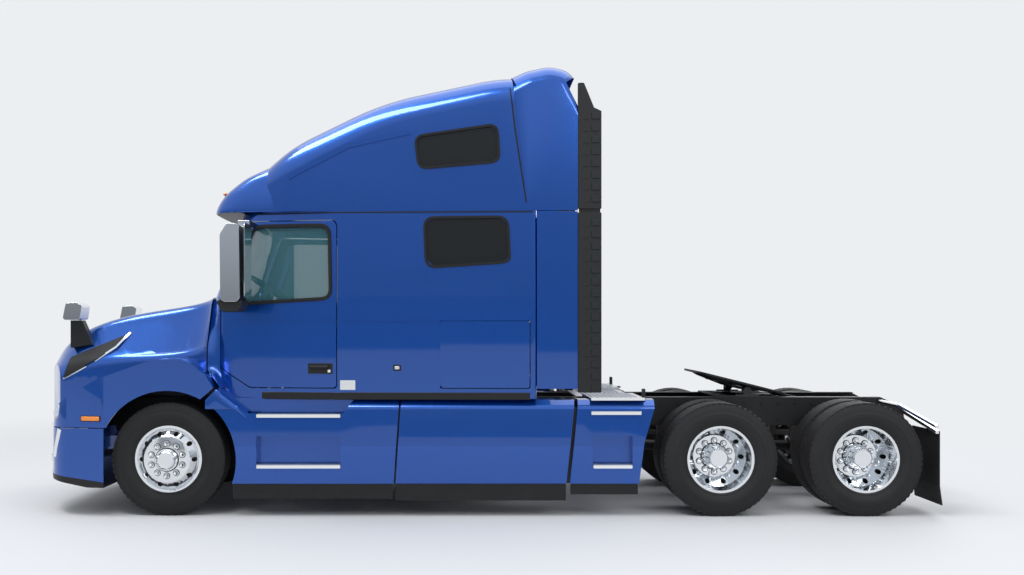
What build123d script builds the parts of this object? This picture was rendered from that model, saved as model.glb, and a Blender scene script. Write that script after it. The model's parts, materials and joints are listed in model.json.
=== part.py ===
"""Highway tractor unit with a raised-roof sleeper, two drive axles and a fifth wheel."""
from math import cos, radians, sin
import os

from build123d import *

os.makedirs("parts", exist_ok=True)

# Driving dimensions in millimetres. The tractor faces -X and its driver sits on the -Y side.
# The origin is on the ground, in the middle of the overall length.
overhang_front = 1262
steer_to_drive = 4915
tandem_spread = 1290
overhang_rear = 675
body_width = 2430

tyre_radius = 505
tyre_width = 278
rim_radius = 298
rim_width = 236
wheel_wall = 14
front_track = 2070
dual_spacing = 340
bearing_gap = 0.5

frame_width = 864
rail_height = 270
rail_flange = 90
rail_wall = 8
rail_top = 1010

cab_floor_z = 1045
belt_z = 1950
roof_seam_z = 2717
trim_top_z = 4035
cab_wall = 50
roof_round = 238
roof_inner_round = 120
skin = 18
panel_gap = 8
fixed_gap = 0.3
glass_thickness = 6
glass_inset = 12
arch_radius = 612
fairing_top_z = 1035
fairing_bottom_z = 290
skirt_bottom_z = 140
fifth_tilt = 14

overall_length = overhang_front + steer_to_drive + tandem_spread + overhang_rear
half_width = body_width / 2
nose_x = -overall_length / 2
tail_x = overall_length / 2
steer_x = nose_x + overhang_front
drive_x = (steer_x + steer_to_drive, steer_x + steer_to_drive + tandem_spread)
axle_z = tyre_radius
rail_side = frame_width / 2
rail_bottom = rail_top - rail_height
outer_dual_y = half_width - tyre_width / 2 + 2
inner_dual_y = outer_dual_y - dual_spacing
dual_middle_y = (outer_dual_y + inner_dual_y) / 2

# Stations along the body.
cowl_x = steer_x + 310
door_rear_x = steer_x + 1505
hatch_front_x = steer_x + 2422
hatch_rear_x = steer_x + 3225
cab_back_x = steer_x + 3280
panel_rear_x = steer_x + 3645
hatch_top_z = 1744
sill_z = cab_floor_z + 88


def side_prism(outline, radii, y_low, y_high):
    """Block with this outline in the XZ plane, between two Y values."""
    with BuildPart() as prism:
        with BuildSketch(Plane.XZ.offset(-y_high)):
            with BuildLine():
                FilletPolyline(*outline, radius=radii, close=True)
            make_face()
        extrude(amount=y_high - y_low)
    return prism.part


def plan_prism(outline, radii, z_low, z_high):
    """Block with this outline in the XY plane, between two heights."""
    with BuildPart() as prism:
        with BuildSketch(Plane.XY.offset(z_low)):
            with BuildLine():
                FilletPolyline(*outline, radius=radii, close=True)
            make_face()
        extrude(amount=z_high - z_low)
    return prism.part


def front_prism(outline, radii, x_low, x_high):
    """Block with this outline in the YZ plane, between two X values."""
    with BuildPart() as prism:
        with BuildSketch(Plane.YZ.offset(x_low)):
            with BuildLine():
                FilletPolyline(*outline, radius=radii, close=True)
            make_face()
        extrude(amount=x_high - x_low)
    return prism.part


def box(x, y, z):
    """Block between pairs of X, Y and Z limits."""
    with BuildPart() as block:
        with Locations(((x[0] + x[1]) / 2, (y[0] + y[1]) / 2, (z[0] + z[1]) / 2)):
            Box(x[1] - x[0], y[1] - y[0], z[1] - z[0])
    return block.part


def drum(x, z, radius, y_low, y_high):
    """Cylinder along Y."""
    with BuildPart() as disc:
        with BuildSketch(Plane.XZ.offset(-y_high)):
            with Locations((x, z)):
                Circle(radius)
        extrude(amount=y_high - y_low)
    return disc.part


def moved(outline, x):
    """Outline given from the steered axle, moved to its station."""
    return [(point_x + x, z) for point_x, z in outline]


def both_sides(part):
    """The part and its mirror image across the middle plane."""
    with BuildPart() as pair:
        add(part)
        mirror(about=Plane.XZ)
    return pair.part


def on_side(part, side):
    """A part that was made on the -Y side, for the side asked for."""
    if side < 0:
        return part
    return part.mirror(Plane.XZ)


def save(part, label):
    """Name a finished piece and write its STEP file."""
    part.label = label
    export_step(part, f"parts/{label}.step")


# Frame: two channel rails joined by crossmembers.
frame_front_x = steer_x - 900
frame_rear_x = tail_x - 40
crossmember_x = (frame_front_x + 60, steer_x + 1300, steer_x + 2200, steer_x + 3100, steer_x + 4100,
                 drive_x[0] + 320, drive_x[1] - 320, frame_rear_x - rail_wall / 2)
# Bars on the rails that carry the fairings: start, underside, top and reach.
bar_rows = ((640, 760, 800, 1188), (1690, 985, 1016.7, 1090), (2085, 985, 1016.7, 1090),
            (3540, 985, 1016.7, 1090), (3660, 985, 1016.7, 1090), (4255, 985, 1016.7, 1090))
with BuildPart() as frame:
    with BuildSketch(Plane.YZ.offset(frame_front_x)):
        for side in (-1, 1):
            with Locations((side * (rail_side - rail_flange / 2), rail_top - rail_height / 2)):
                Rectangle(rail_flange, rail_height)
            with Locations((side * (rail_side - rail_wall - rail_flange / 2), rail_top - rail_height / 2)):
                Rectangle(rail_flange, rail_height - 2 * rail_wall, mode=Mode.SUBTRACT)
    extrude(amount=frame_rear_x - frame_front_x)
    with Locations([(station, 0, rail_top - rail_height / 2) for station in crossmember_x]):
        Box(rail_wall, frame_width - rail_wall, rail_height - 2 * rail_wall)
    add(side_prism(moved([(6610, 1015), (6950, 1015), (6950, 850)], steer_x), 0, -half_width, half_width),
        mode=Mode.SUBTRACT)
save(frame.part, "frame")

with BuildPart() as fairing_bars:
    for start, low, high, reach in bar_rows:
        add(both_sides(box((steer_x + start, steer_x + start + 35), (-reach, -rail_side - fixed_gap), (low, high))))
save(fairing_bars.part, "fairing_bars")

# Engine and gearbox: plain blocks at their real places and sizes, on the rails.
engine_half = 320
gearbox_half = 230
gearbox_rear_x = steer_x + 1150
with BuildPart() as engine:
    add(box((steer_x - 640, steer_x + 325), (-engine_half, engine_half), (660, 1560)))
    add(box((steer_x + 300, gearbox_rear_x), (-gearbox_half, gearbox_half), (600, 1000)))
    for mount_x in (steer_x - 450, steer_x + 200):
        add(box((mount_x - 60, mount_x + 60), (rail_wall - rail_side, rail_side - rail_wall), (860, 920)))
save(engine.part, "engine")

# Radiator core between its top and bottom tanks, ahead of the engine.
radiator_half = 400
radiator_x = (steer_x - 820, steer_x - 740)
with BuildPart() as radiator:
    add(box(radiator_x, (-radiator_half, radiator_half), (rail_top + fixed_gap, 1500)))
    for tank_z in ((rail_top + fixed_gap, rail_top + 60), (1470, 1530)):
        add(box((radiator_x[0] - 20, radiator_x[1] + 20), (-radiator_half, radiator_half), tank_z))
save(radiator.part, "radiator")

# Front bumper: a shell with rounded corners that curves in under the nose.
bumper_bottom_z = 255
bumper_top_z = 780
bumper_rear_x = steer_x - 560
bumper_wall = 14


def bumper_block(step):
    """Bumper outline, moved in by a step at the front, the sides and the bottom."""
    plan = [(nose_x + step, step - 560), (nose_x + step, 560 - step),
            (nose_x + 230 + step / 2, 1130 - step), (bumper_rear_x, half_width - step),
            (bumper_rear_x, step - half_width), (nose_x + 230 + step / 2, step - 1130)]
    profile = [(nose_x - 5 + step, bumper_top_z + step), (nose_x - 5 + step, 500),
               (nose_x + 110 + step, 330 + step), (bumper_rear_x - 150, bumper_bottom_z + step),
               (bumper_rear_x, bumper_bottom_z + step), (bumper_rear_x, bumper_top_z + step)]
    with BuildPart() as block:
        add(plan_prism(plan, [420, 420, 260, 0, 0, 260], bumper_bottom_z, bumper_top_z + step))
        add(side_prism(profile, [0, 160, 160, 100, 0, 0], -half_width, half_width), mode=Mode.INTERSECT)
    return block.part


with BuildPart() as bumper:
    add(bumper_block(0))
    add(bumper_block(bumper_wall), mode=Mode.SUBTRACT)
    for side in (-1, 1):
        add(box((frame_front_x - 120, frame_front_x - fixed_gap),
                (side * rail_side - 45, side * rail_side + 45), (560, bumper_top_z - 30)))
    add(box((nose_x + 5, frame_front_x - 110), (-rail_side - 45, rail_side + 45), (560, 680)))
save(bumper.part, "bumper")

# Hood: a lofted upper body with fenders over the steered wheels, tilting about its lower front edge.
hood_bottom_z = bumper_top_z + panel_gap
hood_wall = 16
# Sections of the upper body: station, half widths at the bottom and top, shoulder and top heights.
hood_sections = ((-overhang_front, 800, 450, 1130, 1255), (-1130, 890, 600, 1240, 1480),
                 (-880, 935, 690, 1330, 1660), (cowl_x - steer_x, 1030, 800, 1500, 1955))


def hood_upper(step):
    """Upper body of the hood, moved in by a step."""
    with BuildPart() as body:
        for station, low, top, shoulder_z, top_z in hood_sections:
            with BuildSketch(Plane.YZ.offset(steer_x + station + step * (1 if station < 0 else 0.1))):
                with BuildLine():
                    FilletPolyline((step - low, hood_bottom_z - 2 * step), (step - low, shoulder_z),
                                   (step - top, top_z - step), (top - step, top_z - step),
                                   (low - step, shoulder_z), (low - step, hood_bottom_z - 2 * step),
                                   radius=[0, 200, 130, 130, 200, 0], close=True)
                make_face()
        loft()
        plan = [(cowl_x + 0.1 * step, step - half_width), (cowl_x + 0.1 * step, half_width - step),
                (steer_x - 1000 + step / 2, 1010 - step), (nose_x + step, 540),
                (nose_x + step, -540), (steer_x - 1000 + step / 2, step - 1010)]
        add(plan_prism(plan, [0, 0, 300, 440, 440, 300], hood_bottom_z - 2 * step, 2100),
            mode=Mode.INTERSECT)
    return body.part


def hood_fenders(step):
    """Block of the two fenders, moved in by a step."""
    rear = 420 + 0.1 * step
    crest = moved([(rear, hood_bottom_z - 2 * step), (rear, 1130 - step), (345, 1250 - step), (160, 1400 - step),
                   (-120, 1395 - step), (-650, 1210 - step), (-1010 + step, 990 - step),
                   (-1175 + step, hood_bottom_z - 2 * step)], steer_x)
    plan = [(steer_x + rear, step - half_width), (steer_x + rear, half_width - step),
            (bumper_rear_x, half_width - step), (nose_x + 230 + step / 2, 1130 - step),
            (nose_x + 20 + step, 560 - step), (nose_x + 20 + step, step - 560),
            (nose_x + 230 + step / 2, step - 1130), (bumper_rear_x, step - half_width)]
    with BuildPart() as block:
        add(side_prism(crest, [0, 60, 90, 200, 400, 700, 200, 0], -half_width, half_width))
        add(plan_prism(plan, [0, 0, 200, 260, 420, 420, 260, 200], hood_bottom_z - 2 * step, 1500),
            mode=Mode.INTERSECT)
    return block.part


hood_tail = moved([(271, 1018), (413, 1142), (306, 1345), (360, 1960), (700, 1960), (700, 700), (150, 700)],
                  steer_x)
outer_upper = hood_upper(0)
outer_fenders = hood_fenders(0)
arch_drum = drum(steer_x, axle_z, arch_radius, -half_width - 5, half_width + 5)
grille_outline = [(-420, 830), (-500, 1170), (-330, 1225), (330, 1225), (500, 1170), (420, 830)]
lamp_outline = [(-1100, 850), (-1120, 1000), (-820, 1085), (-780, 1040), (-820, 870)]
lamp_x = (nose_x + 60, nose_x + 480)
with BuildPart() as hood:
    add(outer_upper)
    add(outer_fenders)
    add(side_prism(hood_tail, 0, -half_width - 5, half_width + 5), mode=Mode.SUBTRACT)
    add(hood_upper(hood_wall), mode=Mode.SUBTRACT)
    add(hood_fenders(hood_wall), mode=Mode.SUBTRACT)
    add(arch_drum, mode=Mode.SUBTRACT)
    add(box((cowl_x - 5, steer_x + 430), (-900, 900), (700, 1600)), mode=Mode.SUBTRACT)
    add(front_prism(grille_outline, 40, nose_x - 10, nose_x + 60), mode=Mode.SUBTRACT)
    add(both_sides(front_prism(lamp_outline, 35, *lamp_x) - outer_upper), mode=Mode.SUBTRACT)
save(hood.part, "hood")

# Grille in the nose of the hood: a frame with crossbars.
grille_bar = 12
grille_depth = 14
with BuildPart() as grille:
    add(front_prism([(y - 0.3 if y > 0 else y + 0.3, z - 0.3 if z > 1000 else z + 0.3) for y, z in grille_outline],
                    40, nose_x + 1, nose_x + 1 + grille_depth))
    add(front_prism([(y * 0.94, 1020 + (z - 1020) * 0.9) for y, z in grille_outline], 30, nose_x, nose_x + 20),
        mode=Mode.SUBTRACT)
    for row in range(7):
        bar_z = 890 + 45 * row
        bar_half = 450 + (bar_z - 830) * 80 / 340 - 50
        add(box((nose_x + 1, nose_x + 1 + grille_depth), (-bar_half, bar_half), (bar_z, bar_z + grille_bar)))
save(grille.part, "grille")

# Headlamps in the front corners of the fenders.
with BuildPart() as headlamp:
    add(front_prism([(-1099.7, 850.4), (-1119.6, 999.8), (-820.1, 1084.7), (-780.4, 1040), (-819.7, 870.3)],
                    35, lamp_x[0] + fixed_gap, lamp_x[1] - fixed_gap))
    add(hood_fenders(-4), mode=Mode.INTERSECT)
    add(hood_fenders(40), mode=Mode.SUBTRACT)
    add(outer_upper, mode=Mode.SUBTRACT)
save(both_sides(headlamp.part), "headlamps")

# Black scoops on the sides of the hood, standing proud of its skin.
scoop_proud = 14
scoop_outline = moved([(-1030, 1204), (-1008, 1260), (-975, 1405), (-442, 1628), (-543, 1498)], steer_x)
with BuildPart() as scoop:
    add(hood_upper(-scoop_proud))
    add(hood_upper(-fixed_gap), mode=Mode.SUBTRACT)
    add(side_prism(scoop_outline, [10, 20, 30, 20, 40], -half_width, -700), mode=Mode.INTERSECT)
save(both_sides(scoop.part), "hood_scoops")

# Mirrors on short stalks at the front corners of the hood.
hood_mirror_y = 800
with BuildPart() as hood_mirror:
    stalk = moved([(-985, 1490), (-780, 1520), (-890, 1770), (-985, 1770)], steer_x)
    add(side_prism(stalk, [0, 0, 20, 20], -hood_mirror_y - 45, -hood_mirror_y + 45))
    head = moved([(-1030, 1745), (-870, 1745), (-850, 1880), (-900, 1905), (-1000, 1900)], steer_x)
    add(side_prism(head, 25, -hood_mirror_y - 130, -hood_mirror_y + 90))
    add(hood_upper(-fixed_gap), mode=Mode.SUBTRACT)
save(both_sides(hood_mirror.part), "hood_mirrors")

# Cab and sleeper body: ruled sections in height, hollow, with a wall as thick as the doors.
# Sections: height, front station, half widths at the front, the door's rear edge and the back.
cab_sections = ((cab_floor_z, 345, 1010, 1170, 1205), (belt_z, 345, 1000, 1170, 1210),
                (roof_seam_z, 600, 960, 1150, 1200))
cab_corner = 260


def cab_body(step):
    """Cab and sleeper below the roof, moved in by a step."""
    with BuildPart() as body:
        for z, front, half_front, half_door, half_back in cab_sections:
            with BuildSketch(Plane.XY.offset(z)):
                with BuildLine():
                    FilletPolyline((steer_x + front + step, step - half_front),
                                   (steer_x + front + step, half_front - step),
                                   (door_rear_x, half_door - step), (cab_back_x - step, half_back - step),
                                   (cab_back_x - step, step - half_back), (door_rear_x, step - half_door),
                                   radius=[cab_corner - step / 2, cab_corner - step / 2, 0, 30, 30, 0], close=True)
                make_face()
        loft(ruled=True)
    return body.part


def roof_body(step, round_off):
    """Raised roof over the cab and sleeper, moved in by a step, with a raked rear end."""
    rear = 3250 - step
    profile = moved([(440 + step, roof_seam_z - 3 * step), (470 + step, 2850), (1120, 3345 - step),
                     (1900, 3720 - step), (2900, 3925 - step), (rear, 3935 - step),
                     (rear, roof_seam_z - 3 * step)], steer_x)
    plan = [(steer_x + 440 + step, -620), (steer_x + 440 + step, 620), (steer_x + 900, 1130 - step),
            (steer_x + rear, 1205 - step), (steer_x + rear, step - 1205), (steer_x + 900, step - 1130)]
    rake = moved([(3050 - step, trim_top_z), (3197 - step, roof_seam_z), (3197 - step, roof_seam_z - 200),
                  (3400, roof_seam_z - 200), (3400, trim_top_z)], steer_x)
    with BuildPart() as body:
        add(side_prism(profile, [0, 180, 1500, 2600, 1500, 0, 0], -half_width, half_width))
        add(plan_prism(plan, [500, 500, 700, 0, 0, 700], roof_seam_z - 200, trim_top_z), mode=Mode.INTERSECT)
        rims = body.edges().filter_by(lambda edge: edge.center().Z > roof_seam_z + 133
                                      and edge.center().X < steer_x + 3200
                                      and abs(edge.tangent_at(0.5).Z) < 0.99)
        fillet(rims, round_off)
        add(side_prism(rake, 0, -half_width, half_width), mode=Mode.SUBTRACT)
        split(bisect_by=Plane.XY.offset(roof_seam_z + fixed_gap), keep=Keep.TOP)
    return body.part


cab_outer = cab_body(0)
cab_inner = cab_body(cab_wall)
roof_outer = roof_body(0, roof_round)
roof_inner = roof_body(cab_wall, roof_inner_round)
pane_low = glass_inset
pane_high = glass_inset + glass_thickness
cab_pane = cab_body(pane_low) - cab_body(pane_high)
roof_pane = roof_body(pane_low, roof_round - pane_low) - roof_body(pane_high, roof_round - pane_high)

door_outline = moved([(412, 1320), (412, 1950), (660, 2640), (1505, 2640), (1505, sill_z), (705, sill_z)],
                     steer_x)
door_window = moved([(500, 1893), (745, 2580), (1420, 2580), (1435, 1948)], steer_x)
hatch_outline = [(hatch_front_x, sill_z), (hatch_front_x, hatch_top_z),
                 (hatch_rear_x, hatch_top_z), (hatch_rear_x, sill_z)]
sleeper_window = moved([(2281, 2645), (3015, 2650), (3030, 2275), (2960, 2262), (2310, 2222)], steer_x)
upper_window = moved([(2206, 3370), (2920, 3472), (2942, 3160), (2243, 3100)], steer_x)
window_radii = [90, 90, 60, 0, 90]
windshield_outline = [(-900, 1985), (-850, 2650), (850, 2650), (900, 1985)]


def grown(outline, step):
    """Convex outline with every point moved away from its middle by a step each way."""
    middle_u = (min(u for u, v in outline) + max(u for u, v in outline)) / 2
    middle_v = (min(v for u, v in outline) + max(v for u, v in outline)) / 2
    return [(u + (step if u > middle_u else -step), v + (step if v > middle_v else -step)) for u, v in outline]


def side_openings(outline, radii):
    """The outline cut through both side walls."""
    return both_sides(side_prism(outline, radii, -half_width - 10, -850))


# The hood rests on two blocks on the cowl, whose tops follow its underside.
with BuildPart() as hood_rests:
    for side in (-1, 1):
        add(box((cowl_x - 20, cowl_x + 1.5), (side * 340 - 40, side * 340 + 40), (1860, 1990)))
    add(hood_upper(hood_wall + fixed_gap), mode=Mode.INTERSECT)
    for side in (-1, 1):
        add(box((cowl_x - 20, steer_x + 350), (side * 340 - 40, side * 340 + 40), (1860, 1900)))

front_cut = moved([(300, 1290), (300, 1000), (560, 1000)], steer_x)
floor_slab = box((nose_x, tail_x), (-half_width, half_width), (cab_floor_z - 10, cab_floor_z + cab_wall))
rear_ledge = box((steer_x + 3140, tail_x), (-half_width, half_width), (roof_seam_z - cab_wall, roof_seam_z + 10))
visor_block = box((nose_x, steer_x + 700), (-half_width, half_width), (roof_seam_z - 200, trim_top_z))
with BuildPart() as cab_shell:
    add(cab_outer)
    add(cab_inner - floor_slab - rear_ledge, mode=Mode.SUBTRACT)
    add(side_openings(door_outline, [60, 60, 60, 60, 30, 60]), mode=Mode.SUBTRACT)
    add(side_openings(hatch_outline, 20), mode=Mode.SUBTRACT)
    add(side_openings(sleeper_window, window_radii), mode=Mode.SUBTRACT)
    add(front_prism(windshield_outline, 90, steer_x + 200, steer_x + 700), mode=Mode.SUBTRACT)
    add(side_prism(front_cut, 0, -half_width, half_width), mode=Mode.SUBTRACT)
    add(hood_rests.part)
    for mount_x in (steer_x + 700, steer_x + 3100):
        for side in (-1, 1):
            add(box((mount_x, mount_x + 100), (side * 388 - 38, side * 388 + 38),
                    (rail_top + fixed_gap, cab_floor_z + 10)))
save(cab_shell.part, "cab_shell")

with BuildPart() as roof_cap:
    add(roof_outer)
    add(roof_inner - visor_block, mode=Mode.SUBTRACT)
    add(side_openings(upper_window, 70), mode=Mode.SUBTRACT)
save(roof_cap.part, "roof_cap")

# Panes, each set into its opening.
with BuildPart() as windshield:
    add(cab_pane)
    add(front_prism(grown(windshield_outline, -fixed_gap), 90, steer_x + 200, steer_x + 700), mode=Mode.INTERSECT)
save(windshield.part, "windshield")

with BuildPart() as sleeper_windows:
    add(cab_pane)
    add(side_openings(grown(sleeper_window, -fixed_gap), window_radii), mode=Mode.INTERSECT)
with BuildPart() as upper_windows:
    add(roof_pane)
    add(side_openings(grown(upper_window, -fixed_gap), 70), mode=Mode.INTERSECT)
with BuildPart() as sleeper_panes:
    add(sleeper_windows.part)
    add(upper_windows.part)
save(sleeper_panes.part, "sleeper_windows")

# Doors, the luggage hatches and their glass and mirrors, made on the driver's side and mirrored.
wall_ring = cab_outer - cab_inner
door_leaf = moved([(412 + panel_gap, 1320 + 0.3 * panel_gap), (412 + panel_gap, 1950),
                   (660 + panel_gap, 2640 - panel_gap), (1505 - panel_gap, 2640 - panel_gap),
                   (1505 - panel_gap, sill_z + panel_gap), (705 + 0.3 * panel_gap, sill_z + panel_gap)], steer_x)
with BuildPart() as door:
    add(wall_ring)
    add(side_prism(door_leaf, [60, 60, 60, 60, 30, 60], -half_width - 10, -850), mode=Mode.INTERSECT)
    add(side_prism(door_window, 70, -half_width - 10, -850), mode=Mode.SUBTRACT)
with BuildPart() as door_pane:
    add(cab_pane)
    add(side_prism(grown(door_window, -fixed_gap), 70, -half_width - 10, -850), mode=Mode.INTERSECT)
# The hatch turns about its front edge, so only a hinge gap is left there.
hinge_gap = 0.5
hatch_leaf = [(hatch_front_x + hinge_gap, sill_z + panel_gap), (hatch_front_x + hinge_gap, hatch_top_z - panel_gap),
              (hatch_rear_x - panel_gap, hatch_top_z - panel_gap), (hatch_rear_x - panel_gap, sill_z + panel_gap)]
with BuildPart() as hatch:
    add(wall_ring)
    add(side_prism(hatch_leaf, 20, -half_width - 10, -850), mode=Mode.INTERSECT)

mirror_head_y = (-1530, -1225)
with BuildPart() as door_mirror:
    head = moved([(545, 1900), (540, 2480), (600, 2575), (705, 2570), (715, 1900)], steer_x)
    add(side_prism(head, [50, 60, 40, 40, 50], *mirror_head_y))
    add(box((steer_x + 600, steer_x + 650), (mirror_head_y[1] - 5, -900), (1965, 2005)))
    add(box((steer_x + 700, steer_x + 745), (mirror_head_y[1] - 5, -900), (2590, 2622)))
    add(box((steer_x + 640, steer_x + 745), (mirror_head_y[1] - 40, mirror_head_y[1] - 5), (2540, 2622)))
    add(cab_body(-fixed_gap), mode=Mode.SUBTRACT)
for side_name, side in (("left", -1), ("right", 1)):
    save(on_side(door.part, side), f"door_{side_name}")
    save(on_side(door_pane.part, side), f"door_glass_{side_name}")
    save(on_side(door_mirror.part, side), f"mirror_{side_name}")
    save(on_side(hatch.part, side), f"hatch_{side_name}")

# Fairings behind the sleeper: a raised trim across the roof and panels that carry the sides on.
trim_round = 220


def trim_body(step):
    """Raised rear edge of the roof, moved in by a step; it is open in front, at the back and below."""
    low = roof_seam_z + fixed_gap - 2 * step
    rear = 3645 + step
    front = fixed_gap - 3 * step
    profile = moved([(3061.7 + front, 3930 - step), (3190, 3990 - step), (3400, trim_top_z - step),
                     (3600, 3990 - step), (rear, 3900 - step), (rear, low), (3197 + front, low)], steer_x)
    with BuildPart() as body:
        add(side_prism(profile, [0, 300, 300, 200, 0, 0, 0], -half_width, half_width))
        rims = body.edges().filter_by(lambda edge: edge.center().Z > 3900 - step - 1
                                      and abs(abs(edge.center().Y) - half_width) < 1)
        fillet(rims, trim_round)
        add(box((nose_x, tail_x), (step - 1205, 1205 - step), (0, 2 * trim_top_z)), mode=Mode.INTERSECT)
    return body.part


with BuildPart() as roof_trim:
    add(trim_body(0))
    add(trim_body(skin), mode=Mode.SUBTRACT)
save(roof_trim.part, "roof_trim")

panel_y = cab_sections[0][4]
with BuildPart() as rear_panel:
    add(box((cab_back_x + fixed_gap, panel_rear_x), (-panel_y, skin - panel_y), (sill_z, roof_seam_z - panel_gap)))
    add(box((cab_back_x + fixed_gap, cab_back_x + skin), (-panel_y + 5, -panel_y + 70),
            (sill_z + 20, roof_seam_z - 60)))
save(both_sides(rear_panel.part), "side_panels")

extender_front = panel_rear_x - steer_x + fixed_gap
extender_top = moved([(extender_front, 3850), (3700, 3850), (3790, 3630), (3855, 3600), (3855, 2730),
                      (extender_front, 2730)], steer_x)
extender_low = moved([(extender_front, 2700), (3855, 2700), (3855, 1100), (extender_front, 1100)], steer_x)
with BuildPart() as extender:
    for outline in (extender_top, extender_low):
        add(side_prism(outline, 12, -panel_y, 30 - panel_y))
save(both_sides(extender.part), "side_extenders")

# Lower fairings: skins with a rolled top edge, hung outside the frame between the axles.
skin_path = [(1000, fairing_top_z), (1120, fairing_top_z), (1200, 975), (half_width, 620), (1190, fairing_bottom_z),
             (1190 - skin, fairing_bottom_z), (half_width - skin, 620), (1200 - skin, 967),
             (1113, fairing_top_z - skin), (1000, fairing_top_z - skin)]
fairing_outlines = {
    "step_fairings": [(285, 1005), (430, 1130), (690, 915), (1560, 915), (1650, 1035), (2060, 1035),
                      (2010, 290), (560, 290)],
    "tank_fairings": [(2075, 1035), (3620, 1035), (3545, 290), (2500, 290), (2025, 290)],
    "rear_fairings": [(3650, 1035), (4330, 1035), (4325, 960), (4235, 660), (4190, 290), (3575, 290)],
}
step_rows = ((793, 1540, 905), (793, 1540, 455), (3780, 4130, 455))
tread_thickness = 22
pocket_height = 260
pocket_back = -1083


def step_pocket(start, end, z):
    """Housing behind a step: a shelf under the tread, and walls round the foot space where it is enclosed."""
    top = z + pocket_height + 12 if z < 900 else z - tread_thickness
    return box((steer_x + start - 12, steer_x + end + 12), (-1195, pocket_back), (z - tread_thickness - 12, top))


for label, outline in fairing_outlines.items():
    with BuildPart() as fairing:
        with BuildSketch(Plane.YZ.offset(steer_x)):
            with BuildLine():
                FilletPolyline(*[(-y, z) for y, z in skin_path], close=True,
                               radius=[0, 60, 60, 200, 0, 0, 180, 45, 45, 0])
            make_face()
        extrude(amount=4500)
        add(side_prism(moved(outline, steer_x), 0, -half_width, 0), mode=Mode.INTERSECT)
        add(arch_drum, mode=Mode.SUBTRACT)
        for start, end, z in step_rows:
            if outline[0][0] < start and end < outline[4][0]:
                add(step_pocket(start, end, z))
                add(box((steer_x + start, steer_x + end), (-half_width - 5, pocket_back - 14),
                        (z - tread_thickness - fixed_gap, z + pocket_height)), mode=Mode.SUBTRACT)
    save(both_sides(fairing.part), label)

# Black skirts below the fairings.
skirt_spans = ((580, 2000, skirt_bottom_z + 15), (2030, 3540, skirt_bottom_z), (3580, 4180, skirt_bottom_z + 55))
with BuildPart() as skirts:
    for start, end, low in skirt_spans:
        add(box((steer_x + start, steer_x + end), (-1186, -1174), (low, fairing_bottom_z - fixed_gap)))
save(both_sides(skirts.part), "skirts")

# Step pockets and their serrated treads.
with BuildPart() as treads:
    for start, end, z in step_rows:
        add(box((steer_x + start + fixed_gap, steer_x + end - fixed_gap),
                (-half_width + 2, pocket_back - 14 - fixed_gap), (z - tread_thickness, z)))
save(both_sides(treads.part), "step_treads")

# Fuel tanks behind the middle fairings, on brackets from the rails.
tank_radius = 300
tank_y = 860
tank_z = 690
with BuildPart() as tank:
    with BuildSketch(Plane.YZ.offset(steer_x + 2130)):
        with Locations((-tank_y, tank_z)):
            Circle(tank_radius)
    extrude(amount=1380)
    fillet(tank.edges().filter_by(GeomType.CIRCLE), 40)
    for bracket_x in (2450, 3200):
        add(box((steer_x + bracket_x, steer_x + bracket_x + 70), (-tank_y + tank_radius - 60, -rail_side - fixed_gap),
                (rail_bottom + 20, rail_top - 40)))
save(both_sides(tank.part), "fuel_tanks")

# Deck plate over the frame behind the sleeper.
with BuildPart() as deck:
    add(box((steer_x + 3700, steer_x + 4245), (-rail_side - 40, rail_side + 40), (rail_top + fixed_gap, rail_top + 12)))
    for side in (-1, 1):
        add(box((steer_x + 3760, steer_x + 4240),
                (min(side * 1210, side * (rail_side + 30)), max(side * 1210, side * (rail_side + 30))),
                (rail_top + fixed_gap + 30, rail_top + 42)))
    for side in (-1, 1):
        add(box((steer_x + 3760, steer_x + 4240), (side * (rail_side + 35) - 6, side * (rail_side + 35) + 6),
                (rail_top + fixed_gap, rail_top + 42)))
save(deck.part, "deck_plate")

# Wheels. A profile is a list of (distance outwards from the wheel's middle, radius) points.
def turned(profile, x, middle_y):
    """Solid of revolution about a wheel's axis, on the -Y side."""
    with BuildPart() as body:
        with BuildSketch(Plane.YZ.offset(x)):
            with BuildLine():
                Polyline(*[(-middle_y - out, axle_z + radius) for out, radius in profile], close=True)
            make_face()
        revolve(axis=Axis((x, 0, axle_z), (0, 1, 0)))
    return body.part


def ring_of_holes(x, count, circle_radius, hole_radius, y_low, y_high):
    """Cylinders along Y, set on a circle about a wheel's axis."""
    with BuildPart() as holes:
        with BuildSketch(Plane.XZ.offset(-y_high)):
            with Locations((x, axle_z)):
                with PolarLocations(circle_radius, count):
                    Circle(hole_radius)
        extrude(amount=y_high - y_low)
    return holes.part


bead_radius = 284
barrel_radius = bead_radius - fixed_gap
flange_in = rim_width / 2 - 6
flange_out = rim_width / 2
barrel_inside = 268
tyre_half = tyre_width / 2
tyre_profile = [(-104, bead_radius), (-tyre_half, 390), (-122, 488), (-106, tyre_radius),
                (106, tyre_radius), (122, 488), (tyre_half, 390), (104, bead_radius)]
spindle_radius = 45
bore_radius = spindle_radius + bearing_gap
front_middle_y = front_track / 2
spindle_end = 109
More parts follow.
